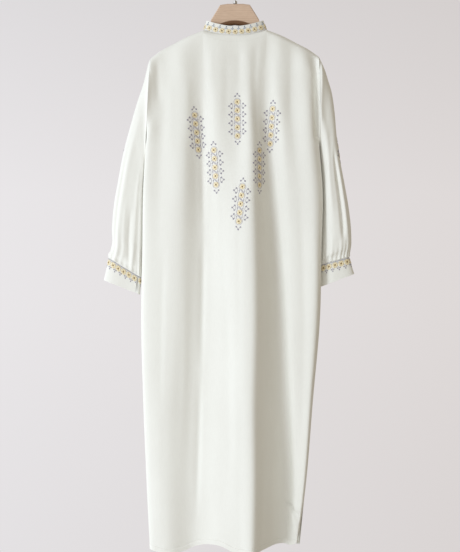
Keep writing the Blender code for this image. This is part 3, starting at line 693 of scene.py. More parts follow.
def flatten_row(normals, row, plane_normal):
    """Turn a row of normals to lie in a seam's plane."""
    for c in range(normals.shape[1]):
        normals[row, c] = into_plane(normals[row, c], plane_normal)


def armhole_normal(side):
    """Normal of the armhole's plane."""
    run = armhole_across(side, UNDERARM_DROP) - armhole_across(side, TIP_DROP)
    normal = np.array((UNDERARM_DROP - TIP_DROP, 0, run), dtype=float)
    return normal / np.linalg.norm(normal)


def crease_window(along, ends):
    """Share of a crease's height at places along it, from 0 at its start to 1 at its end."""
    return ease(along / ends[0]) * ease((1 - along) / ends[1])


def crease_heights(across, drops, creases):
    """Height of a panel's small creases at arrays of places."""
    total = np.zeros_like(across)
    for x0, drop0, x1, drop1, bow, width, height in creases:
        run_x, run_drop = x1 - x0, drop1 - drop0
        length = math.hypot(run_x, run_drop)
        along = ((across - x0) * run_x + (drops - drop0) * run_drop) / length ** 2
        off = ((across - x0) * run_drop - (drops - drop0) * run_x) / length
        off = off - bow * 4 * along * (1 - along)
        total += height * crease_window(along, CREASE_ENDS) * np.exp(-(off / width) ** 2)
    return total


def add_mesh(name, points, faces, materials, face_materials=None, sharp=50):
    """Smooth shaded mesh object from points in millimetres."""
    mesh = bpy.data.meshes.new(name)
    mesh.from_pydata((np.asarray(points) * MM).tolist(), [], faces)
    for material in materials:
        mesh.materials.append(material)
    if face_materials is not None:
        mesh.polygons.foreach_set("material_index", face_materials)
    mesh.shade_smooth()
    mesh.set_sharp_from_angle(angle=math.radians(sharp))
    item = bpy.data.objects.new(name, mesh)
    bpy.context.collection.objects.link(item)
    return item


def add_shell(name, grid, normals, thickness, material, outward, closed=False, left_out=()):
    """Closed thin shell between a grid of outer points and the same ones moved inwards."""
    rows, columns = grid.shape[:2]
    offset = rows * columns
    quads = []
    for r in range(rows - 1):
        for c in range(columns if closed else columns - 1):
            if (r, c) in left_out:
                continue
            following = (c + 1) % columns
            quad = (r * columns + c, r * columns + following,
                    (r + 1) * columns + following, (r + 1) * columns + c)
            quads.append(quad if outward > 0 else quad[::-1])
    edges = {(quad[i], quad[(i + 1) % 4]) for quad in quads for i in range(4)}
    rims = [(b, a, a + offset, b + offset) for a, b in sorted(edges) if (b, a) not in edges]
    linings = [tuple(i + offset for i in reversed(quad)) for quad in quads]
    points = np.vstack((grid.reshape(-1, 3), (grid - normals * thickness).reshape(-1, 3)))
    used = sorted({i for face in quads + linings for i in face})
    fresh = {old: new for new, old in enumerate(used)}
    faces = [tuple(fresh[i] for i in face) for face in quads + linings + rims]
    return add_mesh(name, points[used], faces, [material])


def row_drops(step, kept):
    """Drops of a panel's rows from the yoke level to the hem, with some kept ones."""
    last = HEM_DROP - HEM_ROWS[0] - step
    count = round((last - YOKE_DROP) / step)
    drops = [YOKE_DROP + (last - YOKE_DROP) * k / count for k in range(count + 1)]
    for drop in kept:
        nearest = min(range(len(drops)), key=lambda i: abs(drops[i] - drop))
        drops[nearest] = drop
    return [*drops, *(HEM_DROP - height for height in HEM_ROWS)]


def hem_heights(grid):
    """Relief of the turned-up hem: a step at its stitching, with small puckers."""
    above = grid[:, :, 2] - grid[-1, :, 2]
    across = grid[:, :, 0]
    step = HEM_STEP * ease((HEM_BAND + HEM_STEP_HEIGHT / 2 - above) / HEM_STEP_HEIGHT)
    depth, reach = HEM_GROOVE
    groove = depth * np.exp(-((above - HEM_BAND) / reach) ** 2)
    pucker = np.sin(across / 2.9) * np.sin(across / 7.1 + 1.3) + 0.6 * np.sin(across / 4.3)
    height, reach = HEM_PUCKER
    return step - groove + height * pucker * np.exp(-((above - HEM_BAND) / reach) ** 2)


def panel_shape(folds, fineness, facing, creases):
    """Outer points and normals of the back (facing -1) or the front (facing 1)."""
    columns, row_height = fineness
    fine = [(fold[0], fold[1] * columns, *fold[2:]) for fold in folds]
    drops = row_drops(row_height, (SLIT_END, VENT_TOP))
    grid = panel_grid(fine, drops, facing)
    normals = grid_normals(grid, facing)
    edge = np.minimum(np.arange(grid.shape[1]), np.arange(grid.shape[1])[::-1])
    heights = crease_heights(grid[:, :, 0], -grid[:, :, 2], creases)
    top_fade = ease(np.arange(grid.shape[0]) / CREASE_TOP_FADE)
    heights *= ease(edge / CREASE_SIDE_FADE)[None, :] * top_fade[:, None]
    heights += hem_heights(grid) * ease(edge / HEM_SIDE_FADE)[None, :]
    grid = grid + normals * heights[:, :, None]
    normals = grid_normals(grid, facing)
    depth_axis = np.array((0, 1.0, 0))
    for column, side in ((0, "left"), (-1, "right")):
        for r, drop in enumerate(-grid[:, column, 2]):
            if drop < UNDERARM_DROP - 0.01:
                normals[r, column] = into_plane(normals[r, column], armhole_normal(side))
            elif drop < VENT_TOP + 0.01:
                normals[r, column] = into_plane(normals[r, column], depth_axis)
    for c in range(1, grid.shape[1] - 1):
        if abs(grid[0, c, 0]) > NECK_HALF_WIDTH - SEAM_GAP:
            normals[0, c] = into_plane(normals[0, c], depth_axis)
    for column in (0, -1):
        normals[0, column] = (0, 0, 1)
    return grid, normals, drops


def make_back(material):
    """Back of the caftan. Returns the piece and its outer surface."""
    grid, normals, _ = panel_shape(BACK_FOLDS, BACK_FINENESS, -1, BACK_CREASES)
    return add_shell("back_cloth", grid, normals, CLOTH_THICKNESS, material, -1), grid


def make_front(material):
    """Front with its neck slit, whose columns of faces are left out."""
    grid, normals, drops = panel_shape(FRONT_FOLDS, FRONT_FINENESS, 1, FRONT_CREASES)
    names = [fold[0] for fold in FRONT_FOLDS]
    columns = FRONT_FINENESS[0]
    first = columns * sum(fold[1] for fold in FRONT_FOLDS[:names.index("slit_left")])
    slit_rows = YOKE_ROWS + drops.index(SLIT_END)
    slit = {(r, first + c) for r in range(slit_rows) for c in range(columns)}
    return add_shell("front_cloth", grid, normals, CLOTH_THICKNESS, material, 1,
                     left_out=slit), grid


def collar_surface():
    """Outer points of the collar, from its top edge down to the neck seam."""
    end = math.pi - COLLAR_OPENING
    angles = np.linspace(-end, end, COLLAR_COLUMNS)
    rows = []
    for part in np.linspace(1, 0, COLLAR_ROWS):
        row = []
        for angle in angles:
            point = neck_point(angle)
            inward = point[:2] / np.linalg.norm(point[:2])
            lean = COLLAR_LEAN * part * (1 - COLLAR_UPRIGHT * (1 - abs(math.sin(angle))))
            point[:2] = point[:2] - inward * lean
            point[2] = point[2] + COLLAR_HEIGHT * part
            row.append(point)
        rows.append(row)
    return np.array(rows)


def make_collar(material):
    """Standing collar band, open at the middle of the front."""
    grid = collar_surface()
    normals = grid_normals(grid, -1)
    flatten_row(normals, -1, np.array((0, 0, 1.0)))
    piece = add_shell("collar_band", grid, normals, BAND_THICKNESS, material, -1)
    return piece, grid


def ring_frame(ring):
    """Middle of a sleeve ring, and its half axes outwards, to the near and to the far side."""
    outer_x, outer_drop, inner_x, inner_drop, near, far, turn = ring
    outer = np.array((outer_x, 0, -outer_drop), dtype=float)
    inner = np.array((inner_x, turn, -inner_drop), dtype=float)
    middle = (outer + inner) / 2
    half = (outer - inner) / 2
    across = half / np.linalg.norm(half)
    sideways = np.array((0, 1.0, 0)) - across[1] * across
    sideways = sideways / np.linalg.norm(sideways)
    return middle, half, -sideways * near, sideways * far


def ring_radius(ring, turn, forms):
    """From a ring's middle to its point at an angle from the outer line over the near side."""
    _, half, near, far = ring_frame(ring)
    outwards = math.cos(turn)
    sideways = abs(math.sin(turn))
    if math.sin(turn) <= 0:
        return half * outwards + far * sideways
    first, second = forms[0] if outwards > 0 else forms[1]
    return half * outwards + near * (1 - min(1, abs(outwards)) ** first) ** second


def ring_points(ring, forms):
    """Points round a sleeve ring."""
    middle = ring_frame(ring)[0]
    return np.array([middle + ring_radius(ring, turn, forms) for turn in SLEEVE_TURNS])


def armhole_ring(side):
    """The sleeve's first ring, on the armhole's seam."""
    outwards = -1 if side == "left" else 1
    points = []
    for turn in SLEEVE_TURNS:
        drop = ARMHOLE_MIDDLE - ARMHOLE_HALF_HEIGHT * math.cos(turn)
        near = -ARMHOLE_HALF_DEPTH * math.sin(turn)
        points.append((armhole_across(side, drop) + outwards * SEAM_GAP, near, -drop))
    return np.array(points)


def raised(ring, distance):
    """Sleeve ring moved up by a distance."""
    return (ring[0], ring[1] - distance, ring[2], ring[3] - distance, *ring[4:])


def gather_heights(grid, side):
    """Height of the gathers at each point of a sleeve, growing towards the cuff."""
    turns = np.degrees(SLEEVE_TURNS)
    above = np.linalg.norm(grid - grid[-1:], axis=2)
    total = np.zeros(above.shape)
    for place, width, height, rise in GATHERS[side]:
        off = (turns - place + 180) % 360 - 180
        ridge = np.exp(-(off / width) ** 2)
        total += height * ridge[None, :] * ease(1 - above / rise)
    return total


def sleeve_crease_heights(grid, side):
    """Height of the long creases at each point of a sleeve."""
    turns = np.degrees(SLEEVE_TURNS)[None, :]
    total = np.zeros(grid.shape[:2])
    for start, start_drop, end, end_drop, width, height in SLEEVE_CREASES[side]:
        along = (-grid[:, :, 2] - start_drop) / (end_drop - start_drop)
        off = (turns - start - (end - start) * along + 180) % 360 - 180
        window = crease_window(along, SLEEVE_CREASE_ENDS)
        total += height * window * np.exp(-(off / width) ** 2)
    return total


def sleeve_surface(side):
    """Outer points and normals of a sleeve, a tube from the armhole to its cuff."""
    outward = SLEEVE_OUTWARD[side]
    cuff = CUFF_EDGES[side][0]
    rings = [*SLEEVE_RINGS[side], raised(cuff, SLEEVE_LAST_STEP), raised(cuff, SEAM_GAP)]
    loops = [armhole_ring(side)]
    loops += [ring_points(ring, SLEEVE_FORMS[side]) for ring in rings]
    before = 2 * loops[0] - loops[1]
    after = 2 * loops[-1] - loops[-2]
    grid = np.array(smooth_line(loops, before, after, [SLEEVE_RING_STEPS] * len(rings)))
    normals = grid_normals(grid, outward, closed=True)
    heights = gather_heights(grid, side) + sleeve_crease_heights(grid, side)
    heights *= ease(np.arange(len(grid))[::-1] / SLEEVE_END_FADE)[:, None]
    grid = grid + normals * heights[:, :, None]
    normals = grid_normals(grid, outward, closed=True)
    flatten_row(normals, 0, armhole_normal(side))
    flatten_row(normals, -1, ring_normal(rings[-1]))
    return grid, normals


def ring_normal(ring):
    """Unit normal of a ring's plane."""
    _, half, _, far = ring_frame(ring)
    normal = np.cross(half, far)
    return normal / np.linalg.norm(normal)


def make_sleeve(side, material):
    """Sleeve of one side. Returns the piece and its outer surface."""
    outward = SLEEVE_OUTWARD[side]
    grid, normals = sleeve_surface(side)
    piece = add_shell("sleeve_cloth_" + side, grid, normals, CLOTH_THICKNESS, material,
                      outward, closed=True)
    return piece, grid


def cuff_surface(side):
    """Outer points of a cuff, from its seam down to its lower edge."""
    top, bottom = CUFF_EDGES[side]
    start, end = CUFF_SLIT[side]
    rows = []
    for part in np.linspace(0, 1, CUFF_ROWS):
        ring = [a + (b - a) * part for a, b in zip(top, bottom)]
        middle = ring_frame(ring)[0]
        narrowing = (end - start) * (CUFF_SLIT_NARROWING - CUFF_SLIT_NARROWING * part)
        opening = end - narrowing
        closing = start + narrowing
        row = []
        for k in range(SLEEVE_POINTS):
            share = opening + (1 + closing - opening) * k / (SLEEVE_POINTS - 1)
            turn = 2 * math.pi * share
            row.append(middle + ring_radius(ring, turn, SLEEVE_FORMS[side]))
        rows.append(row)
    return np.array(rows)


def make_cuff(side, material):
    """Cuff band, open at the inner end of its near side."""
    outward = SLEEVE_OUTWARD[side]
    grid = cuff_surface(side)
    normals = grid_normals(grid, outward)
    flatten_row(normals, 0, ring_normal(CUFF_EDGES[side][0]))
    piece = add_shell("cuff_band_" + side, grid, normals, BAND_THICKNESS, material, outward)
    return piece, grid


def add_thread(work, line, widths, colour, sides=4):
    """Thread laid along a line of (across, up, height), as a closed tapering tube.

    An embroidery is a list of such bodies: points, faces and the thread's colour.
    """
    line = np.asarray(line, dtype=float)
    points = []
    for i, middle in enumerate(line):
        run = line[min(i + 1, len(line) - 1)] - line[max(i - 1, 0)]
        side = np.array((run[1], -run[0], 0)) / max(math.hypot(run[0], run[1]), 1e-9)
        half = widths[min(i, len(widths) - 1)] / 2
        for k in range(sides):
            turn = 2 * math.pi * (k + 0.5) / sides
            rise = THREAD_FLATNESS * math.sin(turn)
            points.append(middle + half * (side * math.cos(turn) + np.array((0, 0, rise))))
    faces = []
    for i in range(len(line) - 1):
        for k in range(sides):
            following = (k + 1) % sides
            faces.append((i * sides + k, i * sides + following,
                          (i + 1) * sides + following, (i + 1) * sides + k))
    faces.append(tuple(range(sides))[::-1])
    faces.append(tuple((len(line) - 1) * sides + k for k in range(sides)))
    work.append((points, faces, colour))


def add_knot(work, place, half_sizes, lean, colour, sides=8):
    """Raised knot or padded spot: a low oval dome."""
    points = [(place[0], place[1], KNOT_FOOT)]
    for share, height in KNOT_RINGS:
        for k in range(sides):
            turn = 2 * math.pi * k / sides
            across = half_sizes[0] * share * math.cos(turn)
            up = half_sizes[1] * share * math.sin(turn)
            points.append((place[0] + across * math.cos(lean) - up * math.sin(lean),
                           place[1] + across * math.sin(lean) + up * math.cos(lean),
                           KNOT_FOOT + (height - KNOT_FOOT) * half_sizes[2]))
    points.append((place[0], place[1], KNOT_FOOT + half_sizes[2]))
    faces = []
    for k in range(sides):
        following = (k + 1) % sides
        faces.append((0, 1 + following, 1 + k))
        for ring in range(2):
            low = 1 + ring * sides
            faces.append((low + k, low + following, low + sides + following, low + sides + k))
        faces.append((1 + 2 * sides + k, 1 + 2 * sides + following, 1 + 3 * sides))
    work.append((points, faces, colour))


def add_group(work, group, middle, mirror=(1, 1)):
    """Dots (one point each) and threads (more points) of a group, placed and mirrored."""
    for colour, size, *points in group:
        placed = [(middle[0] + mirror[0] * across, middle[1] + mirror[1] * up, *height)
                  for across, up, *height in points]
        if len(placed) == 1:
            add_knot(work, placed[0], (size / 2, size / 2, DOT_HEIGHT), 0, colour)
        else:
            add_thread(work, placed, (size,), colour)


def add_rosette(work, across, up, radius):
    """Golden disc of radial satin stitches round a dark slanted spot."""
    share, height = ROSETTE_PADDING
    padding = (radius * share, radius * share, height)
    add_knot(work, (across, up), padding, 0, "gold_shade", 20)
    space = 2 * math.pi * radius / ROSETTE_STITCHES
    widths = [space * share for share in ROSETTE_STITCH_WIDTHS]
    for k in range(ROSETTE_STITCHES):
        turn = 2 * math.pi * (k + 0.5) / ROSETTE_STITCHES
        out = radius * (1.0 if k % 2 else SHORT_STITCH)
        line = [(across + out * share * math.cos(turn), up + out * share * math.sin(turn),
                 height) for share, height in ROSETTE_STITCH]
        colour = "gold_shade" if k % DARK_STITCH_PITCH == DARK_STITCH else "gold"
        add_thread(work, line, widths, colour)
    spot = (radius * SPOT_SHARE[0], radius * SPOT_SHARE[1], 1.0)
    add_knot(work, (across, up), spot, SPOT_LEAN, "brown", 10)


def motif_edge(half):
    """Line round a motif's rosettes, bulging beside each and closing at both ends."""
    side = []
    for up in np.linspace(-half, half, 5 + round(half * EDGE_FINENESS)):
        phase = 2 * math.pi * (up - half) / ROSETTE_PITCH
        side.append((EDGE_NARROW + EDGE_BULGE * (1 + math.cos(phase)), up))
    widest = EDGE_NARROW + 2 * EDGE_BULGE
    turns = np.linspace(0, math.pi, EDGE_END_POINTS)[1:-1]
    top = [(widest * math.cos(a), half + EDGE_END * math.sin(a)) for a in turns]
    left = [(-u, v) for u, v in reversed(side)]
    bottom = [(-widest * math.cos(a), -half - EDGE_END * math.sin(a)) for a in turns]
    return [*side, *top, *left, *bottom]


def motif_work(count):
    """Upright motif: rosettes in a scalloped line, with groups of dots round it."""
    work = []
    end = (count - 1) / 2 * ROSETTE_PITCH
    for k in range(count):
        add_rosette(work, 0, end - k * ROSETTE_PITCH, ROSETTE_RADIUS)
    edge = [(u, v, EDGE_HEIGHT) for u, v in motif_edge(end)]
    add_thread(work, [*edge, edge[0]], (EDGE_THREAD,), "lilac")
    for k in range(count - 1):
        middle = (0, end - (k + 0.5) * ROSETTE_PITCH)
        add_group(work, SIDE_GROUP, middle, (-1, 1))
        add_group(work, SIDE_GROUP, middle)
        add_group(work, TIES, middle)
    add_group(work, END_GROUP, (0, end))
    add_group(work, END_GROUP, (0, -end), (1, -1))
    return work


def leaned(work, degrees):
    """Embroidery turned, its top towards the left."""
    cosine = math.cos(math.radians(degrees))
    sine = math.sin(math.radians(degrees))
    return [([(u * cosine - v * sine, u * sine + v * cosine, h) for u, v, h in points],
             faces, colour) for points, faces, colour in work]


def all_points(work):
    """Points (across, up, height) of an embroidery."""
    return np.array([point for body in work for point in body[0]], dtype=float)


def lengths(line):
    """Distance of each point from the start of a line of points."""
    steps = np.linalg.norm(np.diff(line, axis=0), axis=1)
    return np.concatenate(((0,), np.cumsum(steps)))


def grid_point(grid, row, column):
    """Point or normal of a grid between its rows and columns."""
    r = int(min(max(row, 0), grid.shape[0] - 1.001))
    c = int(min(max(column, 0), grid.shape[1] - 1.001))
    down, along = row - r, column - c
    upper = grid[r, c] * (1 - along) + grid[r, c + 1] * along
    lower = grid[r + 1, c] * (1 - along) + grid[r + 1, c + 1] * along
    return upper * (1 - down) + lower * down


def laid_on(work, surface, row, columns):
    """Points of an embroidery laid on a cloth's surface, its middle at a row.

    Columns tell for each row the column straight above or below the middle.
    """
    grid, normals = surface
    points = all_points(work)
    row_height = np.linalg.norm(grid[1:] - grid[:-1], axis=2).mean()
    reach = int(np.abs(points[:, :2]).max() * LAID_MARGIN / row_height) + LAID_ROWS
    first = max(0, int(row) - reach)
    last = min(len(grid), int(row) + reach + 2)
    spine = np.array([grid_point(grid, r, columns[r]) for r in range(first, last)])
    along = lengths(spine)
    spine_rows = np.arange(first, last)
    middle = np.interp(row, spine_rows, along)
    rows = np.interp(middle - points[:, 1], along, spine_rows)
    rulers = {}
    placed = []
    for (across, _, height), r in zip(points, rows):
        low = min(int(r), len(grid) - 2)
        pair = []
        for each in (low, low + 1):
            if each not in rulers:
                ruler = lengths(grid[each])
                zero = np.interp(columns[each], np.arange(len(ruler)), ruler)
                rulers[each] = (ruler, zero)
            ruler, zero = rulers[each]
            pair.append(np.interp(zero + across, ruler, np.arange(len(ruler))))
        column = pair[0] + (pair[1] - pair[0]) * (r - low)
        normal = grid_point(normals, r, column)
        normal = normal / np.linalg.norm(normal)
        placed.append(grid_point(grid, r, column) + normal * height)
    return placed


def surface_of(grid, outward, closed=False):
    """Grid and normals that embroidery is laid on. A closed one is carried on round."""
    normals = grid_normals(grid, outward, closed)
    if closed:
        grid = np.concatenate((grid, grid, grid[:, :1]), axis=1)
        normals = np.concatenate((normals, normals, normals[:, :1]), axis=1)
    return grid, normals


def add_embroidery(name, parts, materials):
    """Piece made of placed embroideries: (embroidery, its placed points)."""
    names = list(materials)
    points, faces, indices = [], [], []
    for work, placed in parts:
        start = len(points)
        points.extend(placed)
        for body_points, body_faces, colour in work:
            faces.extend([tuple(start + i for i in face) for face in body_faces])
            indices.extend([names.index(colour)] * len(body_faces))
            start += len(body_points)
    used = sorted(set(indices))
    indices = [used.index(i) for i in indices]
    piece = add_mesh(name, points, faces, [materials[names[i]] for i in used], indices, 70)
    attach(piece, "root")


def columns_at(grid, across):
    """For each row of a panel, the column at a place across."""
    return [np.interp(across, row[:, 0], np.arange(len(row))) for row in grid]


def row_at(grid, drop, column):
    """Row of a panel at a drop, in one of its columns."""
    return np.interp(drop, -grid[:, column, 2], np.arange(len(grid)))


def embroider_back(grid, materials):
    """Six motifs on the back."""
    surface = surface_of(grid, -1)
    parts = []
    for across, drop, lean in BACK_MOTIFS:
        work = leaned(motif_work(BACK_ROSETTES), lean)
        columns = columns_at(grid, across)
        row = row_at(grid, drop, int(columns[len(grid) // 3]))
        parts.append((work, laid_on(work, surface, row, columns)))
    add_embroidery("back_embroidery", parts, materials)


def embroider_sleeve(side, grid, materials):
    """Motif on the outer side of a sleeve."""
    surface = surface_of(grid, SLEEVE_OUTWARD[side], closed=True)
    column = SLEEVE_POINTS * (1 - SLEEVE_MOTIF_TURN[side] / 360)
    row = row_at(grid, SLEEVE_MOTIF_DROP, int(column) % SLEEVE_POINTS)
    work = motif_work(SLEEVE_ROSETTES)
    placed = laid_on(work, surface, row, [column] * len(grid))
    add_embroidery("sleeve_embroidery_" + side, [(work, placed)], materials)


def collar_unit():
    """One repeat of the collar's border, its foot on the neck seam."""
    work = []
    add_rosette(work, 0, COLLAR_ROSETTE_UP, COLLAR_ROSETTE)
    add_group(work, COLLAR_GROUP, (COLLAR_PITCH / 2, 0))
    for k in range(COLLAR_FOOT_STITCHES):
        across = (k + 0.5) / COLLAR_FOOT_STITCHES - 0.5
        add_group(work, (COLLAR_FOOT_STITCH,), (across * COLLAR_PITCH, 0))
    return work


def cuff_unit():
    """One repeat of a cuff's border, its top on the cuff's seam."""
    work = []
    for up, width in CUFF_LINES:
        line = [(part * CUFF_PITCH, up, 0.25) for part in (-0.5, -0.25, 0, 0.25, 0.5)]
        add_thread(work, line, (width,), "slate")
    add_rosette(work, 0, CUFF_ROSETTE_UP, CUFF_ROSETTE)
    add_group(work, CUFF_GROUP, (CUFF_PITCH / 2, 0))
    return work


def embroider_band(name, unit, pitch, surface, row, materials):
    """Border of repeats along a band, set evenly along one of its rows."""
    ruler = lengths(surface[0][row])
    count = round(ruler[-1] / pitch)
    parts = []
    for k in range(count):
        column = np.interp((k + 0.5) * ruler[-1] / count, ruler, np.arange(len(ruler)))
        work = unit
        if k == count - 1:
            work = within(unit, ruler[-1] / count / 2)
        placed = laid_on(work, surface, row, [column] * len(surface[0]))
        parts.append((work, placed))
    add_embroidery(name, parts, materials)


def within(work, limit):
    """Embroidery without the bodies that reach past a limit to the right."""
    return [body for body in work
            if max(point[0] for point in body[0]) <= limit + REPEAT_OVERLAP]


def stitch_work(start, end):
    """Row of running stitches between two distances along a line."""
    work = []
    count = max(1, round((end - start) / STITCH_PITCH))
    step = (end - start) / count
    for k in range(count):
        left = start + (k + 0.5 - STITCH_SHARE / 2) * step
        right = left + STITCH_SHARE * step
        middle = (left + right) / 2
        line = [(left, 0, KNOT_FOOT), (middle, 0, STITCH_RISE), (right, 0, KNOT_FOOT)]
        add_thread(work, line, (STITCH_WIDTH,), "ivory", 3)
    return work


def laid_along(work, surface, row):
    """Points of an embroidery laid along one row of a surface, across being the distance."""
    grid, normals = surface
    low = int(min(max(row, 0), len(grid) - 2))
    share = row - low
    line = grid[low] * (1 - share) + grid[low + 1] * share
    facing = normals[low] * (1 - share) + normals[low + 1] * share
    upward = grid[max(low - 1, 0)] - grid[low + 1]
    upward = upward / np.linalg.norm(upward, axis=1, keepdims=True)
    points = all_points(work)
    columns = np.interp(points[:, 0], lengths(line), np.arange(len(line)))
    index = np.arange(len(line))
    placed = np.zeros((len(points), 3))
    for k in range(3):
        placed[:, k] = (np.interp(columns, index, line[:, k])
                        + np.interp(columns, index, upward[:, k]) * points[:, 1]
                        + np.interp(columns, index, facing[:, k]) * points[:, 2])
    return placed


def stitch_rows(name, rows, materials):
    """Rows of stitches: (surface, row, from share, to share of its length)."""
    parts = []
    for surface, row, start, end in rows:
        grid = surface[0]
        total = lengths(grid[int(min(row, len(grid) - 1))])[-1]
        work = stitch_work(start * total, end * total)
        parts.append((work, laid_along(work, surface, row)))
    add_embroidery(name, parts, materials)


def turned(surface):
    """Surface with its rows and columns exchanged."""
    return surface[0].transpose(1, 0, 2), surface[1].transpose(1, 0, 2)


def stitch_panel(name, grid, facing, materials):
    """Stitching of a panel's hem and vents, and of its neck edge or its neck slit."""
    surface = surface_of(grid, facing)
    hem = len(grid) - 1 - HEM_ROWS_BELOW
    vent = np.interp(VENT_TOP, -grid[:, 0, 2], np.arange(len(grid)))
    drops = lengths(grid[:, 0])
    share = np.interp(vent, np.arange(len(drops)), drops) / drops[-1]
    across = grid[NECK_STITCH_ROW, :, 0]
    ruler = lengths(grid[NECK_STITCH_ROW])
    reach = [np.interp(end, across, ruler) / ruler[-1]
             for end in (-NECK_STITCH_REACH, NECK_STITCH_REACH)]
    rows = [(surface, hem, *HEM_STITCH_ENDS)]
    for column in (VENT_STITCH_COLUMN, grid.shape[1] - 1 - VENT_STITCH_COLUMN):
        rows.append((turned(surface), column, share, VENT_STITCH_END))
    if facing < 0:
        rows.append((surface, NECK_STITCH_ROW, *reach))
    else:
        middle = int(np.argmin(np.abs(grid[0, :, 0])))
        ruler = lengths(grid[:, middle])
        foot = np.interp(SLIT_END, -grid[:, middle, 2], ruler) / ruler[-1]
        for column in (middle - SLIT_STITCH_COLUMN, middle + SLIT_STITCH_COLUMN):
            rows.append((turned(surface), column, SLIT_STITCH_START, foot))
    stitch_rows(name, rows, materials)


def new_material(name, colour, settings):
    """Principled material with its settings by name, and object coordinates at hand."""
    material = bpy.data.materials.new(name)
    material.use_nodes = True
    tree = material.node_tree
    shader = tree.nodes["Principled BSDF"]
    shader.inputs["Base Color"].default_value = (*colour, 1)
    for setting, value in settings.items():
        shader.inputs[setting].default_value = value
    place = add_node(tree, "TexCoord", {}).outputs["Object"]
    return material, tree, shader, place


def add_node(tree, kind, inputs, **settings):
    """New shader node. Its inputs, by name or number, are other nodes' outputs or values."""
    node = tree.nodes.new("ShaderNode" + kind)
    for setting, value in settings.items():
        setattr(node, setting, value)
    for name, value in inputs.items():
        if isinstance(value, bpy.types.NodeSocket):
            tree.links.new(value, node.inputs[name])
        else:
            node.inputs[name].default_value = value
    return node


def stretched(tree, place, scale):
    """Coordinates scaled by three factors."""
    return add_node(tree, "Mapping", {"Vector": place, "Scale": scale}).outputs["Vector"]


def noise(tree, vector, scale, detail):
    """Noise from 0 to 1."""
    inputs = {"Vector": vector, "Scale": scale, "Detail": detail}
    return add_node(tree, "TexNoise", inputs).outputs["Fac"]


def wave(tree, vector, axis, scale, distortion):
    """Bands across an axis, from 0 to 1."""
    inputs = {"Vector": vector, "Scale": scale, "Distortion": distortion}
    return add_node(tree, "TexWave", inputs, bands_direction=axis).outputs["Fac"]


def calculated(tree, operation, first, second):
    """Two values added or multiplied."""
    return add_node(tree, "Math", {0: first, 1: second}, operation=operation).outputs["Value"]


def blended(tree, first, second, share):
    """Sum of two values, the first with a share and the second with the rest."""
    return calculated(tree, "ADD", calculated(tree, "MULTIPLY", first, share),
                      calculated(tree, "MULTIPLY", second, 1 - share))


def mapped(tree, value, start, end):
    """Value that runs from 0 at a start to 1 at an end."""
    inputs = {"Value": value, "From Min": start, "From Max": end}
    return add_node(tree, "MapRange", inputs).outputs["Result"]


def mixed(tree, blend, factor, first, second):
    """Two colours mixed by a factor."""
    inputs = {"Factor": factor, "A": first, "B": second}
    return add_node(tree, "Mix", inputs, data_type="RGBA", blend_type=blend).outputs["Result"]


def ramp(tree, value, stops):
    """Colour that follows a value through stops (place, colour)."""
    node = add_node(tree, "ValToRGB", {"Fac": value})
    elements = node.color_ramp.elements
    while len(elements) < len(stops):
        elements.new(0.5)
    for element, (place, colour) in zip(elements, stops):
        element.position = place
        element.color = (*colour, 1)
    return node.outputs["Color"]


def tint(tree, shader, value, stops):
    """Base colour that follows a value through stops (place, colour)."""
    tree.links.new(ramp(tree, value, stops), shader.inputs["Base Color"])


def bump(tree, shader, height, strength, distance):
    """Relief on a shader, with its distance in metres."""
    inputs = {"Height": height, "Strength": strength, "Distance": distance}
    node = add_node(tree, "Bump", inputs)
    tree.links.new(node.outputs["Normal"], shader.inputs["Normal"])


def cloth_material(name):
    """Matt crepe with a fine weave, slightly uneven in tone."""
    material, tree, shader, place = new_material(name, IVORY_LIGHT, CLOTH_SHEEN)
    tone = noise(tree, stretched(tree, place, (1, 1, 0.3)), 14, 3)
    slub = noise(tree, stretched(tree, place, (1, 1, 0.06)), 900, 2)
    stops = ((0.3, IVORY_DARK), (0.6, IVORY_LIGHT))
    tint(tree, shader, blended(tree, tone, slub, 0.6), stops)
    warp = wave(tree, place, "X", WEAVE_SCALE, 0.6)
    weft = wave(tree, place, "Z", WEAVE_SCALE, 0.6)
    crepe = noise(tree, place, 1400, 3)
    weave = calculated(tree, "ADD", calculated(tree, "MULTIPLY", warp, weft), crepe)
    bump(tree, shader, weave, 0.25, 0.0001)
    return material


def painted_arch_shade(tree, place, wood):
    """Wood's colour with painted shade in an arch under the hanger's middle, for its shaded
    underside.
    """
    split = add_node(tree, "SeparateXYZ", {"Vector": place}).outputs
    square = calculated(tree, "MULTIPLY", split["X"], split["X"])
    bow = calculated(tree, "MULTIPLY", square, ARCH_BOW)
    height = calculated(tree, "ADD", split["Z"], bow)
    start, end = ARCH_SHADE
    share = mapped(tree, height, -start * MM, -end * MM)
    return mixed(tree, "MIX", share, wood, (*ARCH_SHADE_COLOUR, 1))


def wood_material():
    """Pale beech, its grain along the hanger."""
    settings = {"Roughness": 0.45, "Coat Weight": 0.1, "Coat Roughness": 0.3}
    material, tree, shader, place = new_material("beech_wood", (0.5, 0.33, 0.2), settings)
    rings = wave(tree, stretched(tree, place, (5, 40, 60)), "Z", 1.2, 6.0)
    fibre = noise(tree, stretched(tree, place, (20, 400, 400)), 3, 4)
    stops = ((0.25, (0.52, 0.36, 0.25)), (0.5, (0.64, 0.46, 0.33)), (0.8, (0.73, 0.55, 0.41)))
    wood = ramp(tree, blended(tree, rings, fibre, 0.25), stops)
    # Base colour: the grain, with painted shade in an arch under the hanger's middle
    tree.links.new(painted_arch_shade(tree, place, wood), shader.inputs["Base Color"])
    bump(tree, shader, fibre, 0.2, 0.0003)
    return material


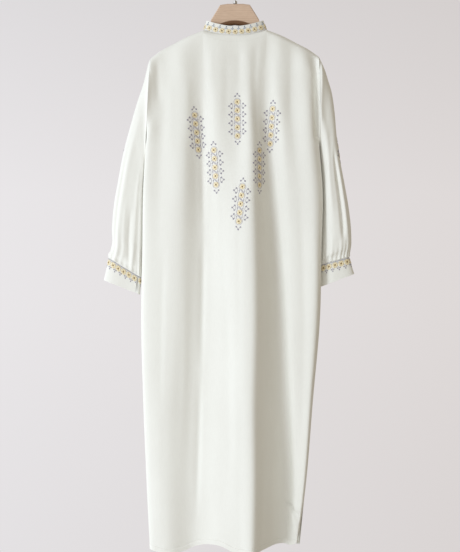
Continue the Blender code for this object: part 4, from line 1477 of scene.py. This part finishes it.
def steel_material():
    """Plated steel wire with faint rubbed marks."""
    settings = {"Roughness": 0.28, "Metallic": 1.0}
    material, tree, shader, place = new_material("hook_metal", (0.62, 0.60, 0.57), settings)
    marks = noise(tree, stretched(tree, place, (300, 300, 40)), 3, 3)
    tint(tree, shader, marks, ((0.3, (0.50, 0.48, 0.46)), (0.7, (0.68, 0.66, 0.63))))
    rough = calculated(tree, "ADD", calculated(tree, "MULTIPLY", marks, 0.2), 0.2)
    tree.links.new(rough, shader.inputs["Roughness"])
    return material


def thread_material(name, colour, shade):
    """Twisted cotton thread, a little glossy."""
    settings = {"Roughness": 0.5, "Sheen Weight": 0.2}
    material, tree, shader, place = new_material(name, colour, settings)
    tint(tree, shader, noise(tree, place, 500, 2), ((0.35, shade), (0.6, colour)))
    bump(tree, shader, noise(tree, place, 2600, 2), 0.3, 0.0002)
    return material


def dress_node(name, material):
    """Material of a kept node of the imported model."""
    for material_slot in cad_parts[name].material_slots:
        material_slot.material = material


def make_camera():
    """Camera at the photograph's viewpoint, level and square to the garment."""
    camera = bpy.data.cameras.new("camera")
    camera.sensor_fit = "VERTICAL"
    distance = -CAMERA_PLACE[1] / MM
    camera.angle = 2 * math.atan(0.5 * FRAME_HEIGHT * PIXEL / distance)
    camera.clip_end = 50
    item = bpy.data.objects.new("camera", camera)
    item.location = CAMERA_PLACE
    item.rotation_euler = (math.radians(90), 0, 0)
    bpy.context.collection.objects.link(item)
    bpy.context.scene.camera = item


def make_window_light():
    """Rectangular soft light aimed at the garment."""
    light = bpy.data.lights.new("window", "AREA")
    light.shape = "RECTANGLE"
    light.size, light.size_y = KEY_SIZE
    light.energy = KEY_POWER
    light.color = KEY_COLOUR
    item = bpy.data.objects.new("window", light)
    item.location = KEY_PLACE
    toward = np.array(KEY_TARGET) - np.array(KEY_PLACE)
    yaw = math.atan2(toward[1], toward[0]) - math.pi / 2
    pitch = math.atan2(toward[2], math.hypot(toward[0], toward[1]))
    item.rotation_euler = (math.pi / 2 + pitch, 0, yaw)
    bpy.context.collection.objects.link(item)


def left_to_right(tree, across, reach, left, right):
    """Colour that changes from left to right, across a reach on each side of the middle."""
    return ramp(tree, mapped(tree, across, -reach, reach), ((0, left), (1, right)))


def make_world():
    """Soft fill, brighter and cooler from the left, and a pale wall behind with painted light:
    lit at the left, in painted shade at the right, and dimmer at the bottom and top.
    """
    world = bpy.data.worlds.new("studio")
    world.use_nodes = True
    tree = world.node_tree
    tree.nodes.clear()
    place = add_node(tree, "TexCoord", {}).outputs["Generated"]
    split = add_node(tree, "SeparateXYZ", {"Vector": place}).outputs
    fill = left_to_right(tree, split["X"], 1.0, FILL_LEFT, FILL_RIGHT)
    # Painted light on the wall: lit at the left, in painted shade at the right
    wall = left_to_right(tree, split["X"], WALL_REACH, WALL_LEFT, WALL_RIGHT)
    height = mapped(tree, split["Z"], -WALL_HALF_HEIGHT, WALL_HALF_HEIGHT)
    # Painted pool of light on the wall: dimmer towards the bottom and the top
    wall = mixed(tree, "MULTIPLY", 1.0, wall, ramp(tree, height, WALL_PAINTED_POOL))
    seen = add_node(tree, "LightPath", {}).outputs["Is Camera Ray"]
    shaders = [add_node(tree, "Background", {"Color": colour}).outputs["Background"]
               for colour in (fill, wall)]
    mix = add_node(tree, "MixShader", {"Fac": seen, 1: shaders[0], 2: shaders[1]})
    add_node(tree, "OutputWorld", {"Surface": mix.outputs["Shader"]})
    bpy.context.scene.world = world


def make_floor():
    """Plain pale studio floor, well below the hem."""
    material, tree, shader, place = new_material("studio_floor", (0.78, 0.76, 0.74),
                                                 {"Roughness": 0.9})
    tone = noise(tree, place, 2, 2)
    tint(tree, shader, tone, ((0.3, (0.76, 0.74, 0.72)), (0.7, (0.80, 0.78, 0.76))))
    corners = [(across * FLOOR_HALF, out * FLOOR_HALF, -FLOOR_DROP)
               for across, out in ((-1, -1), (1, -1), (1, 1), (-1, 1))]
    floor = add_mesh("studio_floor", corners, [(0, 1, 2, 3)], [material])


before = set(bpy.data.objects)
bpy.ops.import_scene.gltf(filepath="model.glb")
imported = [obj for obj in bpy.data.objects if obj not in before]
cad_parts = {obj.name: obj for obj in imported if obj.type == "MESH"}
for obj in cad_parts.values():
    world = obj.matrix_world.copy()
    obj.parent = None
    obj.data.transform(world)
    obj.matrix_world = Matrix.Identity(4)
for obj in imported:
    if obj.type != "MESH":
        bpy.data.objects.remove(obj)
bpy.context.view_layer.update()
make_camera()
make_world()
make_floor()
make_window_light()

cloth = cloth_material("ivory_crepe")
band = cloth_material("ivory_band")
back, back_grid = make_back(cloth)
front, front_grid = make_front(cloth)
collar, collar_grid = make_collar(band)
pieces = [(back, "back_panel", "cloth"), (front, "front_panel", "cloth"),
          (collar, "collar", "band_cloth")]
threads = {name: thread_material("thread_" + name, *colours)
           for name, colours in THREAD_COLOURS.items()}
for side in ("left", "right"):
    sleeve, sleeve_grid = make_sleeve(side, cloth)
    cuff, cuff_grid = make_cuff(side, band)
    pieces += [(sleeve, "sleeve_" + side, "cloth"), (cuff, "cuff_" + side, "band_cloth")]
    embroider_sleeve(side, sleeve_grid, threads)
    embroider_band("cuff_embroidery_" + side, cuff_unit(), CUFF_PITCH,
                   surface_of(cuff_grid, SLEEVE_OUTWARD[side]), 0, threads)
for piece, node, slot in pieces:
    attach(piece, "root")
    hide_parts(node)
embroider_back(back_grid, threads)
stitch_panel("back_stitches", back_grid, -1, threads)
stitch_panel("front_stitches", front_grid, 1, threads)
embroider_band("collar_embroidery", collar_unit(), COLLAR_PITCH,
               surface_of(collar_grid, -1), len(collar_grid) - 1, threads)
dress_node("hanger", wood_material())
dress_node("hanger_hook", steel_material())

bpy.context.scene.view_settings.view_transform = "Standard"
